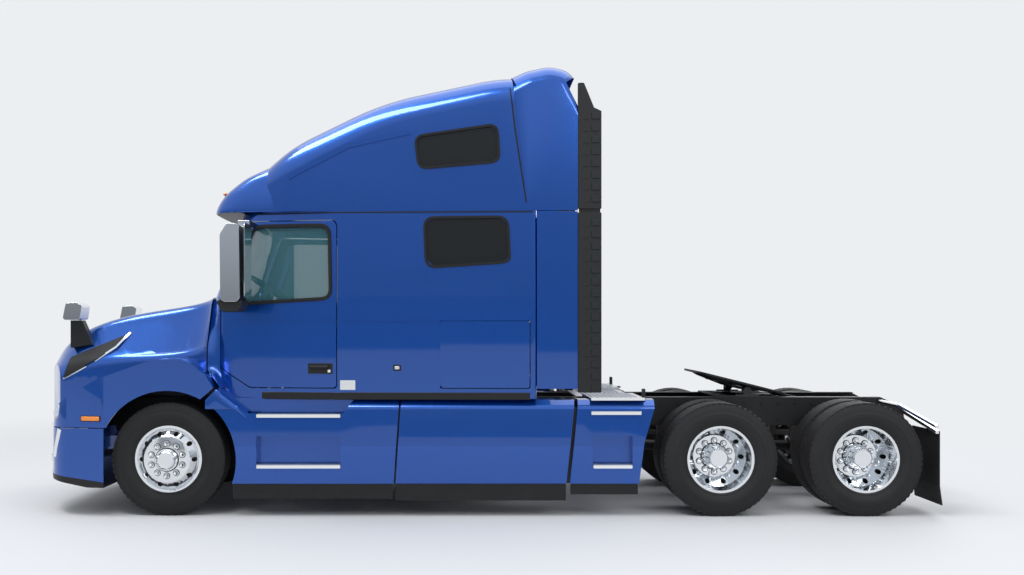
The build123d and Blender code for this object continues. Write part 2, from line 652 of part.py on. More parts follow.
# Front wheel: the disc stands out past the rim flange; the hub, its cap and the brake drum turn with it.
front_profile = [(225, 0), (225, 70), (210, 84), (168, 92), (168, 205), (100, barrel_inside), (flange_out, 276),
                 (flange_out, rim_radius), (flange_in, rim_radius), (flange_in, barrel_radius),
                 (-flange_in, barrel_radius), (-flange_in, rim_radius), (-flange_out, rim_radius),
                 (-flange_out, barrel_inside), (78, barrel_inside), (152, 198), (152, 110), (52, 110), (52, 205),
                 (-100, 205), (-100, 190), (40, 190), (40, 110), (-60, 110), (-60, bore_radius),
                 (spindle_end + 6, bore_radius), (spindle_end + 6, 0)]
with BuildPart() as front_rim:
    add(turned(front_profile, steer_x, front_middle_y))
    add(ring_of_holes(steer_x, 10, 236, 21, -front_middle_y - 190, -front_middle_y - 60), mode=Mode.SUBTRACT)
front_tyre = turned(tyre_profile, steer_x, front_middle_y)
for side_name, side in (("left", -1), ("right", 1)):
    save(on_side(front_tyre, side), f"front_tyre_{side_name}")
    save(on_side(front_rim.part, side), f"front_rim_{side_name}")

# Twin drive wheels: two deep discs bolted back to back on one hub, so each pair turns as one body.
axle_end_radius = 60
axle_bore_radius = axle_end_radius + bearing_gap
axle_end_y = 1085
outer_out = outer_dual_y - dual_middle_y
inner_out = inner_dual_y - dual_middle_y
dual_profile = [(212, 0), (212, 75), (197, 88), (22, 110), (wheel_wall, 110), (wheel_wall, 190),
                (100, barrel_inside),
                (outer_out + flange_out, 276), (outer_out + flange_out, rim_radius),
                (outer_out + flange_in, rim_radius), (outer_out + flange_in, barrel_radius),
                (outer_out - flange_in, barrel_radius), (outer_out - flange_in, rim_radius),
                (outer_out - flange_out, rim_radius), (outer_out - flange_out, barrel_inside), (78, barrel_inside),
                (0, 199), (-78, barrel_inside), (inner_out + flange_out, barrel_inside),
                (inner_out + flange_out, rim_radius), (inner_out + flange_in, rim_radius),
                (inner_out + flange_in, barrel_radius), (inner_out - flange_in, barrel_radius),
                (inner_out - flange_in, rim_radius), (inner_out - flange_out, rim_radius),
                (inner_out - flange_out, barrel_inside), (-100, barrel_inside), (-wheel_wall, 190),
                (-wheel_wall, 110), (-42, 110), (-42, 205), (-268, 205), (-268, 190), (-56, 190), (-56, 110),
                (-208, 110), (-208, axle_bore_radius), (axle_end_y - dual_middle_y + 6, axle_bore_radius),
                (axle_end_y - dual_middle_y + 6, 0)]
for axle_name, axle_x in zip(("forward", "rearward"), drive_x):
    with BuildPart() as dual_tyres:
        for middle_y in (inner_dual_y, outer_dual_y):
            add(turned(tyre_profile, axle_x, middle_y))
    with BuildPart() as dual_rims:
        add(turned(dual_profile, axle_x, dual_middle_y))
        add(ring_of_holes(axle_x, 10, 232, 22, -dual_middle_y - 110, -dual_middle_y + 110), mode=Mode.SUBTRACT)
    for side_name, side in (("left", -1), ("right", 1)):
        save(on_side(dual_tyres.part, side), f"{axle_name}_tyres_{side_name}")
        save(on_side(dual_rims.part, side), f"{axle_name}_rims_{side_name}")

# Steered axle: an I-beam with a boss at each end for the kingpin, under leaf springs.
kingpin_y = 870
kingpin_radius = 20
beam_z = (445, 560)
boss_z = (440, 570)
with BuildPart() as steer_axle:
    add(box((steer_x - 15, steer_x + 15), (-kingpin_y, kingpin_y), (beam_z[0] + 5, beam_z[1] - 5)))
    for flange_z in ((beam_z[0], beam_z[0] + 20), (beam_z[1] - 20, beam_z[1])):
        add(box((steer_x - 50, steer_x + 50), (-kingpin_y, kingpin_y), flange_z))
    for side in (-1, 1):
        add(box((steer_x - 80, steer_x + 80), (side * 387 - 40, side * 387 + 40), (beam_z[1] - 10, 575)))
    with BuildSketch(Plane.XY.offset(boss_z[0])):
        with Locations((steer_x, -kingpin_y), (steer_x, kingpin_y)):
            Circle(50)
    extrude(amount=boss_z[1] - boss_z[0])
    with BuildSketch(Plane.XY.offset(boss_z[0] - 10)):
        with Locations((steer_x, -kingpin_y), (steer_x, kingpin_y)):
            Circle(kingpin_radius + bearing_gap)
    extrude(amount=boss_z[1] - boss_z[0] + 20, mode=Mode.SUBTRACT)
save(steer_axle.part, "steer_axle")

leaf_outline = moved([(-700, 739.7), (-640, 739.7), (-80, 640), (80, 640), (640, 739.7), (700, 739.7),
                      (700, 700), (80, 575.4), (-80, 575.4), (-700, 700)], steer_x)
with BuildPart() as leaf_springs:
    add(side_prism(leaf_outline, 0, -425, -349))
save(both_sides(leaf_springs.part), "leaf_springs")

ear_z = ((384, 434), (576, 626))
with BuildPart() as knuckle:
    for low, high in ear_z:
        add(box((steer_x - 40, steer_x + 40), (-940, -kingpin_y), (low, high)))
        with BuildSketch(Plane.XY.offset(low)):
            with Locations((steer_x, -kingpin_y)):
                Circle(40)
        extrude(amount=high - low)
    with BuildSketch(Plane.XY.offset(ear_z[0][0])):
        with Locations((steer_x, -kingpin_y)):
            Circle(kingpin_radius)
    extrude(amount=ear_z[1][1] - ear_z[0][0])
    add(box((steer_x - 60, steer_x + 60), (-945, -926), (ear_z[0][0], ear_z[1][1])))
    add(drum(steer_x, axle_z, spindle_radius, -front_middle_y - spindle_end, -930))
for side_name, side in (("left", -1), ("right", 1)):
    save(on_side(knuckle.part, side), f"knuckle_{side_name}")

# Drive axles: a housing round each differential, tubes and the ends that the hubs run on.
housing_profile = [(-axle_end_y, 0), (-axle_end_y, axle_end_radius), (-632, axle_end_radius), (-632, 70), (-260, 70),
                   (-120, 215), (120, 215), (260, 70), (632, 70), (632, axle_end_radius),
                   (axle_end_y, axle_end_radius), (axle_end_y, 0)]
pinion_reach = 350
shaft_radius = 50
with BuildPart() as drive_axles:
    for axle_x in drive_x:
        add(turned(housing_profile, axle_x, 0))
        with BuildSketch(Plane.YZ.offset(axle_x - pinion_reach)):
            with Locations((0, axle_z)):
                Circle(80)
        extrude(amount=pinion_reach)
save(drive_axles.part, "drive_axles")

gearbox_shaft_z = 672
with BuildPart() as driveshaft:
    with BuildLine():
        Line((gearbox_rear_x + fixed_gap, 0, gearbox_shaft_z), (drive_x[0] - pinion_reach - fixed_gap, 0, axle_z))
    with BuildSketch(Plane(origin=(gearbox_rear_x + fixed_gap, 0, gearbox_shaft_z), z_dir=(1, 0, 0))):
        Circle(shaft_radius)
    sweep(transition=Transition.TRANSFORMED)
with BuildPart() as shafts:
    add(driveshaft.part)
    with BuildSketch(Plane.YZ.offset(drive_x[0] + 216)):
        with Locations((0, axle_z)):
            Circle(shaft_radius)
    extrude(amount=drive_x[1] - drive_x[0] - pinion_reach - 216.5)
save(shafts.part, "driveshaft")

# Air suspension of the drive axles: an arm over each tube, a hanger at its front and an air spring at its rear.
with BuildPart() as corner_suspension:
    for axle_x in drive_x:
        add(box((axle_x - 430, axle_x + 430), (-430, -350), (575.4, 618)))
        add(box((axle_x - 430, axle_x - 370), (-430, -350), (600, rail_bottom - fixed_gap)))
        with BuildSketch(Plane.XY.offset(610)):
            with Locations((axle_x + 320, -425)):
                Circle(115)
        extrude(amount=rail_bottom - fixed_gap - 610)
save(both_sides(corner_suspension.part), "rear_suspension")

# Fifth wheel: a coupling plate that tips on a cross pin; its throat is open to the rear.
coupling_x = steer_x + 5350
coupling_z = 1075
plate_lift = 45
plate_thickness = 20
pivot_pin_radius = 18
lock_radius = 25.9
tilt = radians(fifth_tilt)
tipped = Plane(origin=(coupling_x, 0, coupling_z), x_dir=(cos(tilt), 0, -sin(tilt)),
               z_dir=(sin(tilt), 0, cos(tilt)))
plate_outline = [(-490, -330), (-420, -455), (60, -455), (406, -300), (406, -185), (130, -lock_radius),
                 (0, -lock_radius), (0, lock_radius), (130, lock_radius), (406, 185), (406, 300), (60, 455),
                 (-420, 455), (-490, 330)]
plate_radii = [90, 90, 200, 60, 20, 60, 0, 0, 60, 20, 60, 200, 90, 90]
with BuildPart() as fifth_plate:
    with BuildSketch(tipped.offset(plate_lift)):
        with BuildLine():
            FilletPolyline(*plate_outline, radius=plate_radii, close=True)
        make_face()
        Circle(lock_radius, mode=Mode.SUBTRACT)
    extrude(amount=plate_thickness)
    with BuildSketch(tipped):
        with Locations((0, -345), (0, 345)):
            Rectangle(72, 50)
    extrude(amount=plate_lift + 5)
    for side in (-1, 1):
        add(drum(coupling_x, coupling_z, 36, side * 345 - 25, side * 345 + 25))
        add(drum(coupling_x, coupling_z, pivot_pin_radius + bearing_gap, side * 345 - 30, side * 345 + 30),
            mode=Mode.SUBTRACT)
save(fifth_plate.part, "fifth_wheel_plate")

base_top_z = rail_top + 12
with BuildPart() as fifth_base:
    add(box((coupling_x - 300, coupling_x + 300), (-rail_side, rail_side), (rail_top + fixed_gap, base_top_z)))
    for side in (-1, 1):
        add(box((coupling_x - 36, coupling_x + 36), (side * 405 - 20, side * 405 + 20), (base_top_z - 5, coupling_z)))
        add(box((coupling_x - 110, coupling_x + 110), (side * 405 - 20, side * 405 + 20),
                (base_top_z - 5, base_top_z + 12)))
        add(drum(coupling_x, coupling_z, 36, side * 405 - 20, side * 405 + 20))
        add(drum(coupling_x, coupling_z, pivot_pin_radius, side * 355 - 45, side * 355 + 45))
save(fifth_base.part, "fifth_wheel_base")

# Rear end: hangers with mudflaps, and lamps on the last crossmember.
hanger_x = tail_x - 65
hanger_outline = [(-rail_side - fixed_gap, 900), (-1210, 765), (-1210, 735), (-rail_side - fixed_gap, 862)]
with BuildPart() as hangers:
    add(front_prism(hanger_outline, 0, hanger_x, hanger_x + 30))
save(both_sides(hangers.part), "flap_hangers")

flap_outline = [(hanger_x + 30.3, 758), (hanger_x + 42, 758), (hanger_x + 42, 270), (tail_x, 100), (tail_x - 12, 100),
                (hanger_x + 30.3, 270)]
with BuildPart() as flaps:
    add(side_prism(flap_outline, [0, 0, 80, 0, 0, 80], -1205, -620))
save(both_sides(flaps.part), "mudflaps")

with BuildPart() as tail_lamps:
    with BuildSketch(Plane.YZ.offset(frame_rear_x + fixed_gap)):
        with Locations([(y, 820) for y in (-330, -210, 210, 330)]):
            Circle(50)
    extrude(amount=26)
save(tail_lamps.part, "tail_lamps")

# Cab interior, plain: dashboard, seats, bunk and steering wheel.
trim_room = cab_body(cab_wall + fixed_gap)
cab_floor_top = cab_floor_z + cab_wall + fixed_gap
wheel_rake = radians(34)
dash_half = 845
wheel_middle = (steer_x + 800, -550, 2036)
steering = Plane(origin=wheel_middle, x_dir=(cos(wheel_rake), 0, -sin(wheel_rake)),
                 z_dir=(sin(wheel_rake), 0, cos(wheel_rake)))
dash_outline = moved([(350, 1560), (350, 1975), (560, 1975), (700, 1900), (780, 1850), (740, 1640), (560, 1560)],
                     steer_x)
with BuildPart() as dashboard:
    with BuildSketch(steering.offset(-330)):
        Circle(32)
    extrude(amount=295)
    with BuildSketch(steering.offset(-40)):
        Circle(12)
    extrude(amount=40)
    add(side_prism(dash_outline, [0, 0, 40, 40, 60, 40, 40], -dash_half, dash_half))
    add(trim_room, mode=Mode.INTERSECT)
save(dashboard.part, "dashboard")

with BuildPart() as steering_wheel:
    with BuildSketch(Plane(origin=wheel_middle, x_dir=(cos(wheel_rake), 0, -sin(wheel_rake)), z_dir=(0, 1, 0))):
        with Locations((214, 0)):
            Circle(16)
    revolve(axis=Axis(wheel_middle, (sin(wheel_rake), 0, cos(wheel_rake))))
    with BuildSketch(steering.offset(-25)):
        Circle(60)
    extrude(amount=40)
    with BuildSketch(steering.offset(-10)):
        Rectangle(420, 40)
        with Locations((0, 105)):
            Rectangle(40, 210)
    extrude(amount=14)
    with BuildSketch(steering.offset(-40)):
        Circle(12 + bearing_gap)
    extrude(amount=45, mode=Mode.SUBTRACT)
save(steering_wheel.part, "steering_wheel")

seat_outline = moved([(1050, 1500), (1050, 1610), (1490, 1630), (1590, 2380), (1680, 2380), (1640, 1500)], steer_x)
with BuildPart() as seats:
    add(side_prism(seat_outline, [30, 50, 60, 40, 40, 60], -810, -290))
    add(box((steer_x + 1120, steer_x + 1520), (-740, -360), (cab_floor_top, 1510)))
save(both_sides(seats.part), "seats")

with BuildPart() as bunk:
    add(box((hatch_front_x - 10, tail_x), (-half_width, half_width), (1752, 1900)))
    add(box((hatch_front_x - 30, hatch_front_x - 10), (-half_width, half_width), (cab_floor_top, 1900)))
    add(trim_room, mode=Mode.INTERSECT)
    fillet(bunk.edges().filter_by(Axis.Y).sort_by(Axis.Z)[-1], 15)
save(bunk.part, "bunk")
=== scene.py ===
# %% [markdown]
# The frame. The engineering model of the tractor is loaded first and never moved. The truck could be modelled
# by eye, but its joints expect each piece at an exact place, so everything is built round this frame. Lengths
# are metres: -X is the front, -Y the driver's side, Z is up, and the ground is at zero.

# %% Load the frame
import json
import math

import bmesh
import bpy
from mathutils import Matrix, Vector
from mathutils.bvhtree import BVHTree


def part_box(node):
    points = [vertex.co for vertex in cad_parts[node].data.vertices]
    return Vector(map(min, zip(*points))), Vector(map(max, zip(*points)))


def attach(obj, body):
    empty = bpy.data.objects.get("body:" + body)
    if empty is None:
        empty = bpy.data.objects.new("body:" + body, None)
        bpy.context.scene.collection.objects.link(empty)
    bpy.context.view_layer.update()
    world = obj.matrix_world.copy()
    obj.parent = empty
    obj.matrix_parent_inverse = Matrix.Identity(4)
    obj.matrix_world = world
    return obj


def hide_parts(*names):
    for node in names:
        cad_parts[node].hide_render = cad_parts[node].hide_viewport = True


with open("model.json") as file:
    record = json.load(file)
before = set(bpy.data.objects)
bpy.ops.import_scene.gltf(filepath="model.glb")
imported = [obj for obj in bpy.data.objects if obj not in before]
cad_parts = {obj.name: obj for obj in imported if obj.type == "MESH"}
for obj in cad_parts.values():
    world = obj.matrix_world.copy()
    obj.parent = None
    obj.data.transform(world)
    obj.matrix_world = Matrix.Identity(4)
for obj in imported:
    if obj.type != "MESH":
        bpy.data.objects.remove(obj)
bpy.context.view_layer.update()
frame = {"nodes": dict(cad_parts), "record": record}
scene = bpy.context.scene

# %% [markdown]
# Stations along the truck. A truck is laid out from its axles, so stations are counted from the steered axle.
# The numbers could be typed in, but they are read from the frame where it has them, so that a detail follows
# the piece that carries it when a size changes.

# %% Driving sizes
sides = (("left", -1), ("right", 1))
front_low, front_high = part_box("front_tyre_left")
steer_x = (front_low.x + front_high.x) / 2
tyre_radius = (front_high.z - front_low.z) / 2
front_middle_y = -(front_low.y + front_high.y) / 2
tyre_half = (front_high.y - front_low.y) / 2
forward_low, forward_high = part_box("forward_tyres_left")
rearward_low, rearward_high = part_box("rearward_tyres_left")
drive_x = {"forward": (forward_low.x + forward_high.x) / 2, "rearward": (rearward_low.x + rearward_high.x) / 2}
outer_dual_y = -forward_low.y - tyre_half
inner_dual_y = -forward_high.y + tyre_half


def at(x, y, z):
    """A point counted from the steered axle, the middle of the truck and the ground."""
    return Vector((steer_x + x, y, z))


print(f"steered axle {steer_x:.3f}, tyre radius {tyre_radius:.3f}")

# %% [markdown]
# The camera stands ten metres from the driver's side at head height, square to it. It could be tilted and
# turned towards the middle of the truck, but then upright lines would lean and level ones would run together.
# Kept square, it frames the truck with lens shift alone.

# %% Camera
half_width = 1.215
camera_data = bpy.data.cameras.new("camera")
camera_data.sensor_width = 36
camera_data.lens = 38.5
camera_data.shift_x = 0.043
camera_data.shift_y = 0.0366
camera_data.clip_end = 200
camera = bpy.data.objects.new("camera", camera_data)
camera.location = at(2.67, -half_width - 9.7, 1.70)
camera.rotation_euler = (math.radians(90), 0, 0)
scene.collection.objects.link(camera)
scene.camera = camera
print("camera", [round(value, 2) for value in camera.location])

# %% [markdown]
# The sky. Behind the truck it is a plain pale backdrop. On the camera's side it is darker near the ground and
# paler above, so that each curved panel shows a soft band between the two. An image of a sky would do the same
# and bring its own clutter, so a colour ramp over the height is used. Two small helpers add and wire nodes.


# %% Helpers for shader nodes
def add(tree, kind, values=None, **settings):
    """A shader node with its settings and the values of its sockets."""
    made = tree.nodes.new("ShaderNode" + kind)
    for setting, value in settings.items():
        setattr(made, setting, value)
    for socket, value in (values or {}).items():
        made.inputs[socket].default_value = value
    return made


def wire(tree, *links):
    """Links, each given as a node, its output, the next node and its input."""
    for source, output, target, socket in links:
        tree.links.new(source.outputs[output], target.inputs[socket])


print("helpers for shader nodes")

# %% Sky
backdrop = (0.84, 0.86, 0.88, 1)
scene.view_settings.view_transform = "Standard"
world = bpy.data.worlds.new("sky")
scene.world = world
world.use_nodes = True
sky = world.node_tree
sky.nodes.clear()
sky_out, sky_light, sky_place = add(sky, "OutputWorld"), add(sky, "Background"), add(sky, "TexCoord")
sky_split, sky_ramp = add(sky, "SeparateXYZ"), add(sky, "ValToRGB")
ramp = sky_ramp.color_ramp
ramp.elements[0].position = 0.40
ramp.elements[0].color = (0.16, 0.17, 0.18, 1)
ramp.elements[1].position = 1.0
ramp.elements[1].color = (0.90, 0.95, 1.0, 1)
for position, colour in ((0.485, (0.12, 0.13, 0.14)), (0.53, (0.30, 0.33, 0.37)), (0.68, (0.80, 0.86, 0.94))):
    ramp.elements.new(position).color = (*colour, 1)
sky_shift = add(sky, "Math", {1: 0.5, 2: 0.5}, operation="MULTIPLY_ADD")
sky_side = add(sky, "MapRange", {"From Min": -0.15, "From Max": 0.35}, interpolation_type="SMOOTHSTEP")
sky_mix = add(sky, "Mix", {"B": backdrop}, data_type="RGBA")
wire(sky, (sky_place, "Generated", sky_split, 0), (sky_split, "Z", sky_shift, 0), (sky_shift, 0, sky_ramp, 0),
     (sky_split, "Y", sky_side, "Value"), (sky_side, "Result", sky_mix, "Factor"), (sky_ramp, 0, sky_mix, "A"),
     (sky_mix, "Result", sky_light, 0), (sky_light, 0, sky_out, 0))
print("sky nodes", len(sky.nodes))

# %% [markdown]
# Lamps and floor. Paint and chrome show the shape of what they mirror, so the lamps are large rectangles, like
# the soft boxes over a car in a studio, where small lamps would leave hard dots. The key box hangs high in
# front, the others fill the side, the top and the rear. The floor is one wide grid.


# %% Soft boxes and floor
def soft_box(name, place, target, size, power):
    """A rectangular area lamp that looks at a target."""
    data = bpy.data.lights.new(name, "AREA")
    data.shape = "RECTANGLE"
    data.size, data.size_y = size
    data.energy = power
    lamp = bpy.data.objects.new(name, data)
    lamp.location = place
    lamp.rotation_euler = (Vector(target) - Vector(place)).to_track_quat("-Z", "Y").to_euler()
    scene.collection.objects.link(lamp)


soft_box("key_box", (-6, -4.5, 13), (-0.5, 0, 1.5), (12, 3), 1300)
soft_box("fill_box", (7, -10, 7), (1, 0, 1.5), (8, 3), 360)
soft_box("top_box", (0, 1, 11), (0, 0, 2), (14, 8), 380)
soft_box("rear_box", (9, 9, 6), (1, 0, 2), (8, 4), 330)

bm = bmesh.new()
bmesh.ops.create_grid(bm, x_segments=2, y_segments=2, size=60)
floor_mesh = bpy.data.meshes.new("floor")
bm.to_mesh(floor_mesh)
bm.free()
floor = bpy.data.objects.new("floor", floor_mesh)
scene.collection.objects.link(floor)
print("lamps", len(bpy.data.lights))

# %% [markdown]
# Shared effects. Road dust, fine grain and metal flake appear in many finishes. They could be drawn again in
# each material, but as node groups with named sockets they are built once, and each finish gives its own
# values. Road dust gathers low on a vehicle and thins out upwards, broken up by a soft noise.


# %% Road dust
def group(name, inputs, outputs):
    """An empty shader group with named number sockets."""
    tree = bpy.data.node_groups.new(name, "ShaderNodeTree")
    for socket, value in inputs.items():
        tree.interface.new_socket(socket, in_out="INPUT", socket_type="NodeSocketFloat").default_value = value
    for socket in outputs:
        tree.interface.new_socket(socket, in_out="OUTPUT", socket_type="NodeSocketFloat")
    return tree, tree.nodes.new("NodeGroupInput"), tree.nodes.new("NodeGroupOutput")


dust_group, dust_in, dust_out = group("road_dust", {"Height": 1.0, "Amount": 0.3, "Scale": 6.0}, ["Mask"])
dust_place, dust_split = add(dust_group, "TexCoord"), add(dust_group, "SeparateXYZ")
dust_fade = add(dust_group, "Math", operation="DIVIDE")
dust_invert = add(dust_group, "Math", {0: 1}, operation="SUBTRACT", use_clamp=True)
dust_noise = add(dust_group, "TexNoise", {"Detail": 6})
dust_mix = add(dust_group, "Math", operation="MULTIPLY")
dust_scale = add(dust_group, "Math", operation="MULTIPLY", use_clamp=True)
wire(dust_group, (dust_place, "Object", dust_split, 0), (dust_place, "Object", dust_noise, "Vector"),
     (dust_in, "Scale", dust_noise, "Scale"), (dust_split, "Z", dust_fade, 0), (dust_in, "Height", dust_fade, 1),
     (dust_fade, 0, dust_invert, 1), (dust_invert, 0, dust_mix, 0), (dust_noise, "Fac", dust_mix, 1),
     (dust_mix, 0, dust_scale, 0), (dust_in, "Amount", dust_scale, 1), (dust_scale, 0, dust_out, "Mask"))
print("dust nodes", len(dust_group.nodes))

# %% [markdown]
# Grain is the fine unevenness of moulded plastic, cloth and cast metal: one noise that moves both height and
# roughness. Metal flake is what makes the paint glitter: a cell pattern that tips each small cell its own way
# and makes some darker, some lighter. Real flakes could be modelled, but there would be far too many.

# %% Grain and metal flake
grain_group, grain_in, grain_out = group("fine_grain", {"Scale": 400.0, "Roughness": 0.5, "Spread": 0.15},
                                         ["Height", "Roughness"])
grain_place = add(grain_group, "TexCoord")
grain_noise = add(grain_group, "TexNoise", {"Detail": 4})
grain_centre = add(grain_group, "Math", {1: 0.5}, operation="SUBTRACT")
grain_rough = add(grain_group, "Math", operation="MULTIPLY_ADD")
wire(grain_group, (grain_place, "Object", grain_noise, "Vector"), (grain_in, "Scale", grain_noise, "Scale"),
     (grain_noise, "Fac", grain_centre, 0), (grain_centre, 0, grain_rough, 0), (grain_in, "Spread", grain_rough, 1),
     (grain_in, "Roughness", grain_rough, 2), (grain_noise, "Fac", grain_out, "Height"),
     (grain_rough, 0, grain_out, "Roughness"))

flake_group, flake_in, flake_out = group("metal_flake", {"Scale": 900.0}, ["Height", "Tone"])
flake_place, flake_cells = add(flake_group, "TexCoord"), add(flake_group, "TexVoronoi")
flake_split = add(flake_group, "SeparateColor")
wire(flake_group, (flake_place, "Object", flake_cells, "Vector"), (flake_in, "Scale", flake_cells, "Scale"),
     (flake_cells, "Color", flake_split, 0), (flake_cells, "Distance", flake_out, "Height"),
     (flake_split, 0, flake_out, "Tone"))
print("groups", [tree.name for tree in bpy.data.node_groups])

# %% [markdown]
# Finishes. Each is one Principled shader whose colour, roughness and bump come from the groups: dust is
# mixed into the base colour, and grain moves roughness and height. Photographed textures would need an unwrap
# of every piece, while these follow Object coordinates and fit any shape. Values that are the same all over
# the surface stay on the shader's own sockets.

# %% A maker of finishes
dust_colour = (0.20, 0.18, 0.15, 1)


def finish(name, colour, roughness, metallic=0.0, dust=0.3, dust_height=1.2, grain=400.0, spread=0.12, bump=0.02,
           bump_distance=0.001, flake=0.0, **sockets):
    """A finish from a base colour, a roughness and the shared groups."""
    material = bpy.data.materials.new(name)
    material.use_nodes = True
    tree = material.node_tree
    shader = tree.nodes["Principled BSDF"]
    shader.inputs["Metallic"].default_value = metallic
    for socket, value in sockets.items():
        shader.inputs[socket.replace("_", " ")].default_value = value
    dusty = add(tree, "Group", {"Height": dust_height, "Amount": dust}, node_tree=dust_group)
    grainy = add(tree, "Group", {"Scale": grain, "Roughness": roughness, "Spread": spread}, node_tree=grain_group)
    blend = add(tree, "Mix", {"A": (*colour, 1), "B": dust_colour}, data_type="RGBA")
    relief = add(tree, "Bump", {"Strength": bump, "Distance": bump_distance})
    raised = grainy
    if flake:
        raised = add(tree, "Group", {"Scale": flake}, node_tree=flake_group)
        darker, lighter = ((*[share * value for value in colour], 1) for share in (0.82, 1.22))
        tone = add(tree, "Mix", {"A": darker, "B": lighter}, data_type="RGBA")
        wire(tree, (raised, "Tone", tone, "Factor"), (tone, "Result", blend, "A"))
    wire(tree, (dusty, "Mask", blend, "Factor"), (blend, "Result", shader, "Base Color"),
         (grainy, "Roughness", shader, "Roughness"), (raised, "Height", relief, "Height"),
         (relief, "Normal", shader, "Normal"))
    return material


print("dust colour", dust_colour[:3])

# %% [markdown]
# The truck's own finishes. The panels wear a metallic blue under a clear coat. Black parts are told apart by
# gloss alone: satin paint, moulded plastic, rubber and castings reflect less and less. Bright parts go from
# chrome through polished to brushed aluminium, each a little rougher than the last.

# %% Paint, plastic, rubber and metal
dull = {"Specular_IOR_Level": 0.3}
blue_paint = finish("blue_paint", (0.001, 0.070, 0.36), 0.24, 0.72, dust=0.04, grain=3, spread=0.05, bump=0.03,
                    flake=700, Coat_Weight=1.0, Coat_Roughness=0.03)
satin_black = finish("satin_black", (0.011, 0.011, 0.012), 0.42, dust=0.06, grain=60, bump=0.08, **dull)
black_plastic = finish("black_plastic", (0.014, 0.014, 0.015), 0.5, dust=0.05, grain=900, bump=0.25, **dull)
soft_rubber = finish("soft_rubber", (0.007, 0.007, 0.008), 0.6, dust=0.06, grain=500, bump=0.15, **dull)
tyre_rubber = finish("tyre_rubber", (0.010, 0.010, 0.011), 0.62, dust=0.05, dust_height=1.6, grain=240, bump=0.2,
                     **dull)
chrome = finish("chrome", (0.84, 0.86, 0.88), 0.06, 1.0, dust=0.04, grain=5, spread=0.03, bump=0.0)
polished = finish("polished_aluminium", (0.78, 0.80, 0.82), 0.12, 1.0, dust=0.06, grain=6, spread=0.04, bump=0.0)
brushed = finish("brushed_aluminium", (0.60, 0.61, 0.62), 0.34, 1.0, dust=0.22, grain=220, bump=0.15)
cast_black = finish("cast_black", (0.02, 0.02, 0.021), 0.58, 0.3, dust=0.5, grain=120, bump=0.5)
cast_grey = finish("cast_grey", (0.16, 0.16, 0.17), 0.55, 0.4, dust=0.45, grain=90, bump=0.5)
seat_cloth = finish("seat_cloth", (0.055, 0.055, 0.06), 0.92, dust=0.0, grain=700, bump=0.5, Sheen_Weight=0.4)
trim_grey = finish("trim_grey", (0.09, 0.09, 0.095), 0.6, dust=0.0, grain=800, bump=0.3)
white_plate = finish("white_plate", (0.62, 0.63, 0.62), 0.4, dust=0.1, bump=0.02)
print("finishes", len(bpy.data.materials))

# %% [markdown]
# Glass and lenses. Real glass bends light through a pane. On thin panes a low alpha looks the same, renders
# faster and survives the export, so the door glass lets the cab show through faintly and the sleeper's dark
# glass almost hides it. The floor's finish is a plain pale grey.

# %% Glass, lenses and floor finish
amber_lens = finish("amber_lens", (0.80, 0.22, 0.01), 0.15, dust=0.05, bump=0.01, Coat_Weight=1.0)
red_lens = finish("red_lens", (0.38, 0.008, 0.008), 0.15, dust=0.1, bump=0.01, Coat_Weight=1.0)
lamp_white = finish("lamp_white", (0.75, 0.77, 0.8), 0.12, 0.6, dust=0.02, bump=0.01, Coat_Weight=1.0)
window_glass = finish("window_glass", (0.05, 0.16, 0.19), 0.02, dust=0.0, bump=0.0, Alpha=0.42)
dark_glass = finish("dark_glass", (0.008, 0.009, 0.010), 0.03, dust=0.05, bump=0.0, Alpha=0.93)
lens_glass = finish("lens_glass", (0.85, 0.87, 0.9), 0.03, dust=0.02, bump=0.0, Alpha=0.25)
floor_finish = finish("pale_floor", (0.52, 0.52, 0.53), 0.75, dust=0.0, grain=14, bump=0.06, bump_distance=0.004)
floor.data.materials.append(floor_finish)
print("finishes", len(bpy.data.materials))

# %% [markdown]
# The floor fades into the backdrop. A curved studio wall would do this, but it would show in every mirror. Far
# from the truck the floor turns into the backdrop's own colour instead, for the camera and for mirrors only,
# so that no horizon line shows, while the floor near the wheels keeps their shadow.

# %% Floor fade
tree = floor_finish.node_tree
fade_place, fade_length = add(tree, "TexCoord"), add(tree, "VectorMath", operation="LENGTH")
fade_range = add(tree, "MapRange", {"From Min": 4.5, "From Max": 13}, interpolation_type="SMOOTHSTEP")
fade_path = add(tree, "LightPath")
fade_first, fade_second = add(tree, "Math", operation="MAXIMUM"), add(tree, "Math", operation="MAXIMUM")
fade_both = add(tree, "Math", operation="MULTIPLY")
fade_glow = add(tree, "Emission", {"Color": backdrop})
fade_mix = add(tree, "MixShader")
wire(tree, (fade_place, "Object", fade_length, 0), (fade_length, "Value", fade_range, "Value"),
     (fade_path, "Is Camera Ray", fade_first, 0), (fade_path, "Is Glossy Ray", fade_first, 1),
     (fade_first, 0, fade_second, 0), (fade_path, "Is Transmission Ray", fade_second, 1),
     (fade_second, 0, fade_both, 0), (fade_range, "Result", fade_both, 1), (fade_both, 0, fade_mix, 0),
     (tree.nodes["Principled BSDF"], 0, fade_mix, 1), (fade_glow, 0, fade_mix, 2),
     (fade_mix, 0, tree.nodes["Material Output"], "Surface"))
print("floor nodes", len(tree.nodes))

# %% [markdown]
# Dressing a node. No real edge is perfectly sharp, and it is the rounding that catches the light. A node of the
# engineering model is never changed: its mesh is copied, its doubled corners are merged, a Bevel modifier
# rounds the edges, and the copy takes the node's place. Faces are shaded smooth up to the sharp edges, which
# is cheaper than more faces.


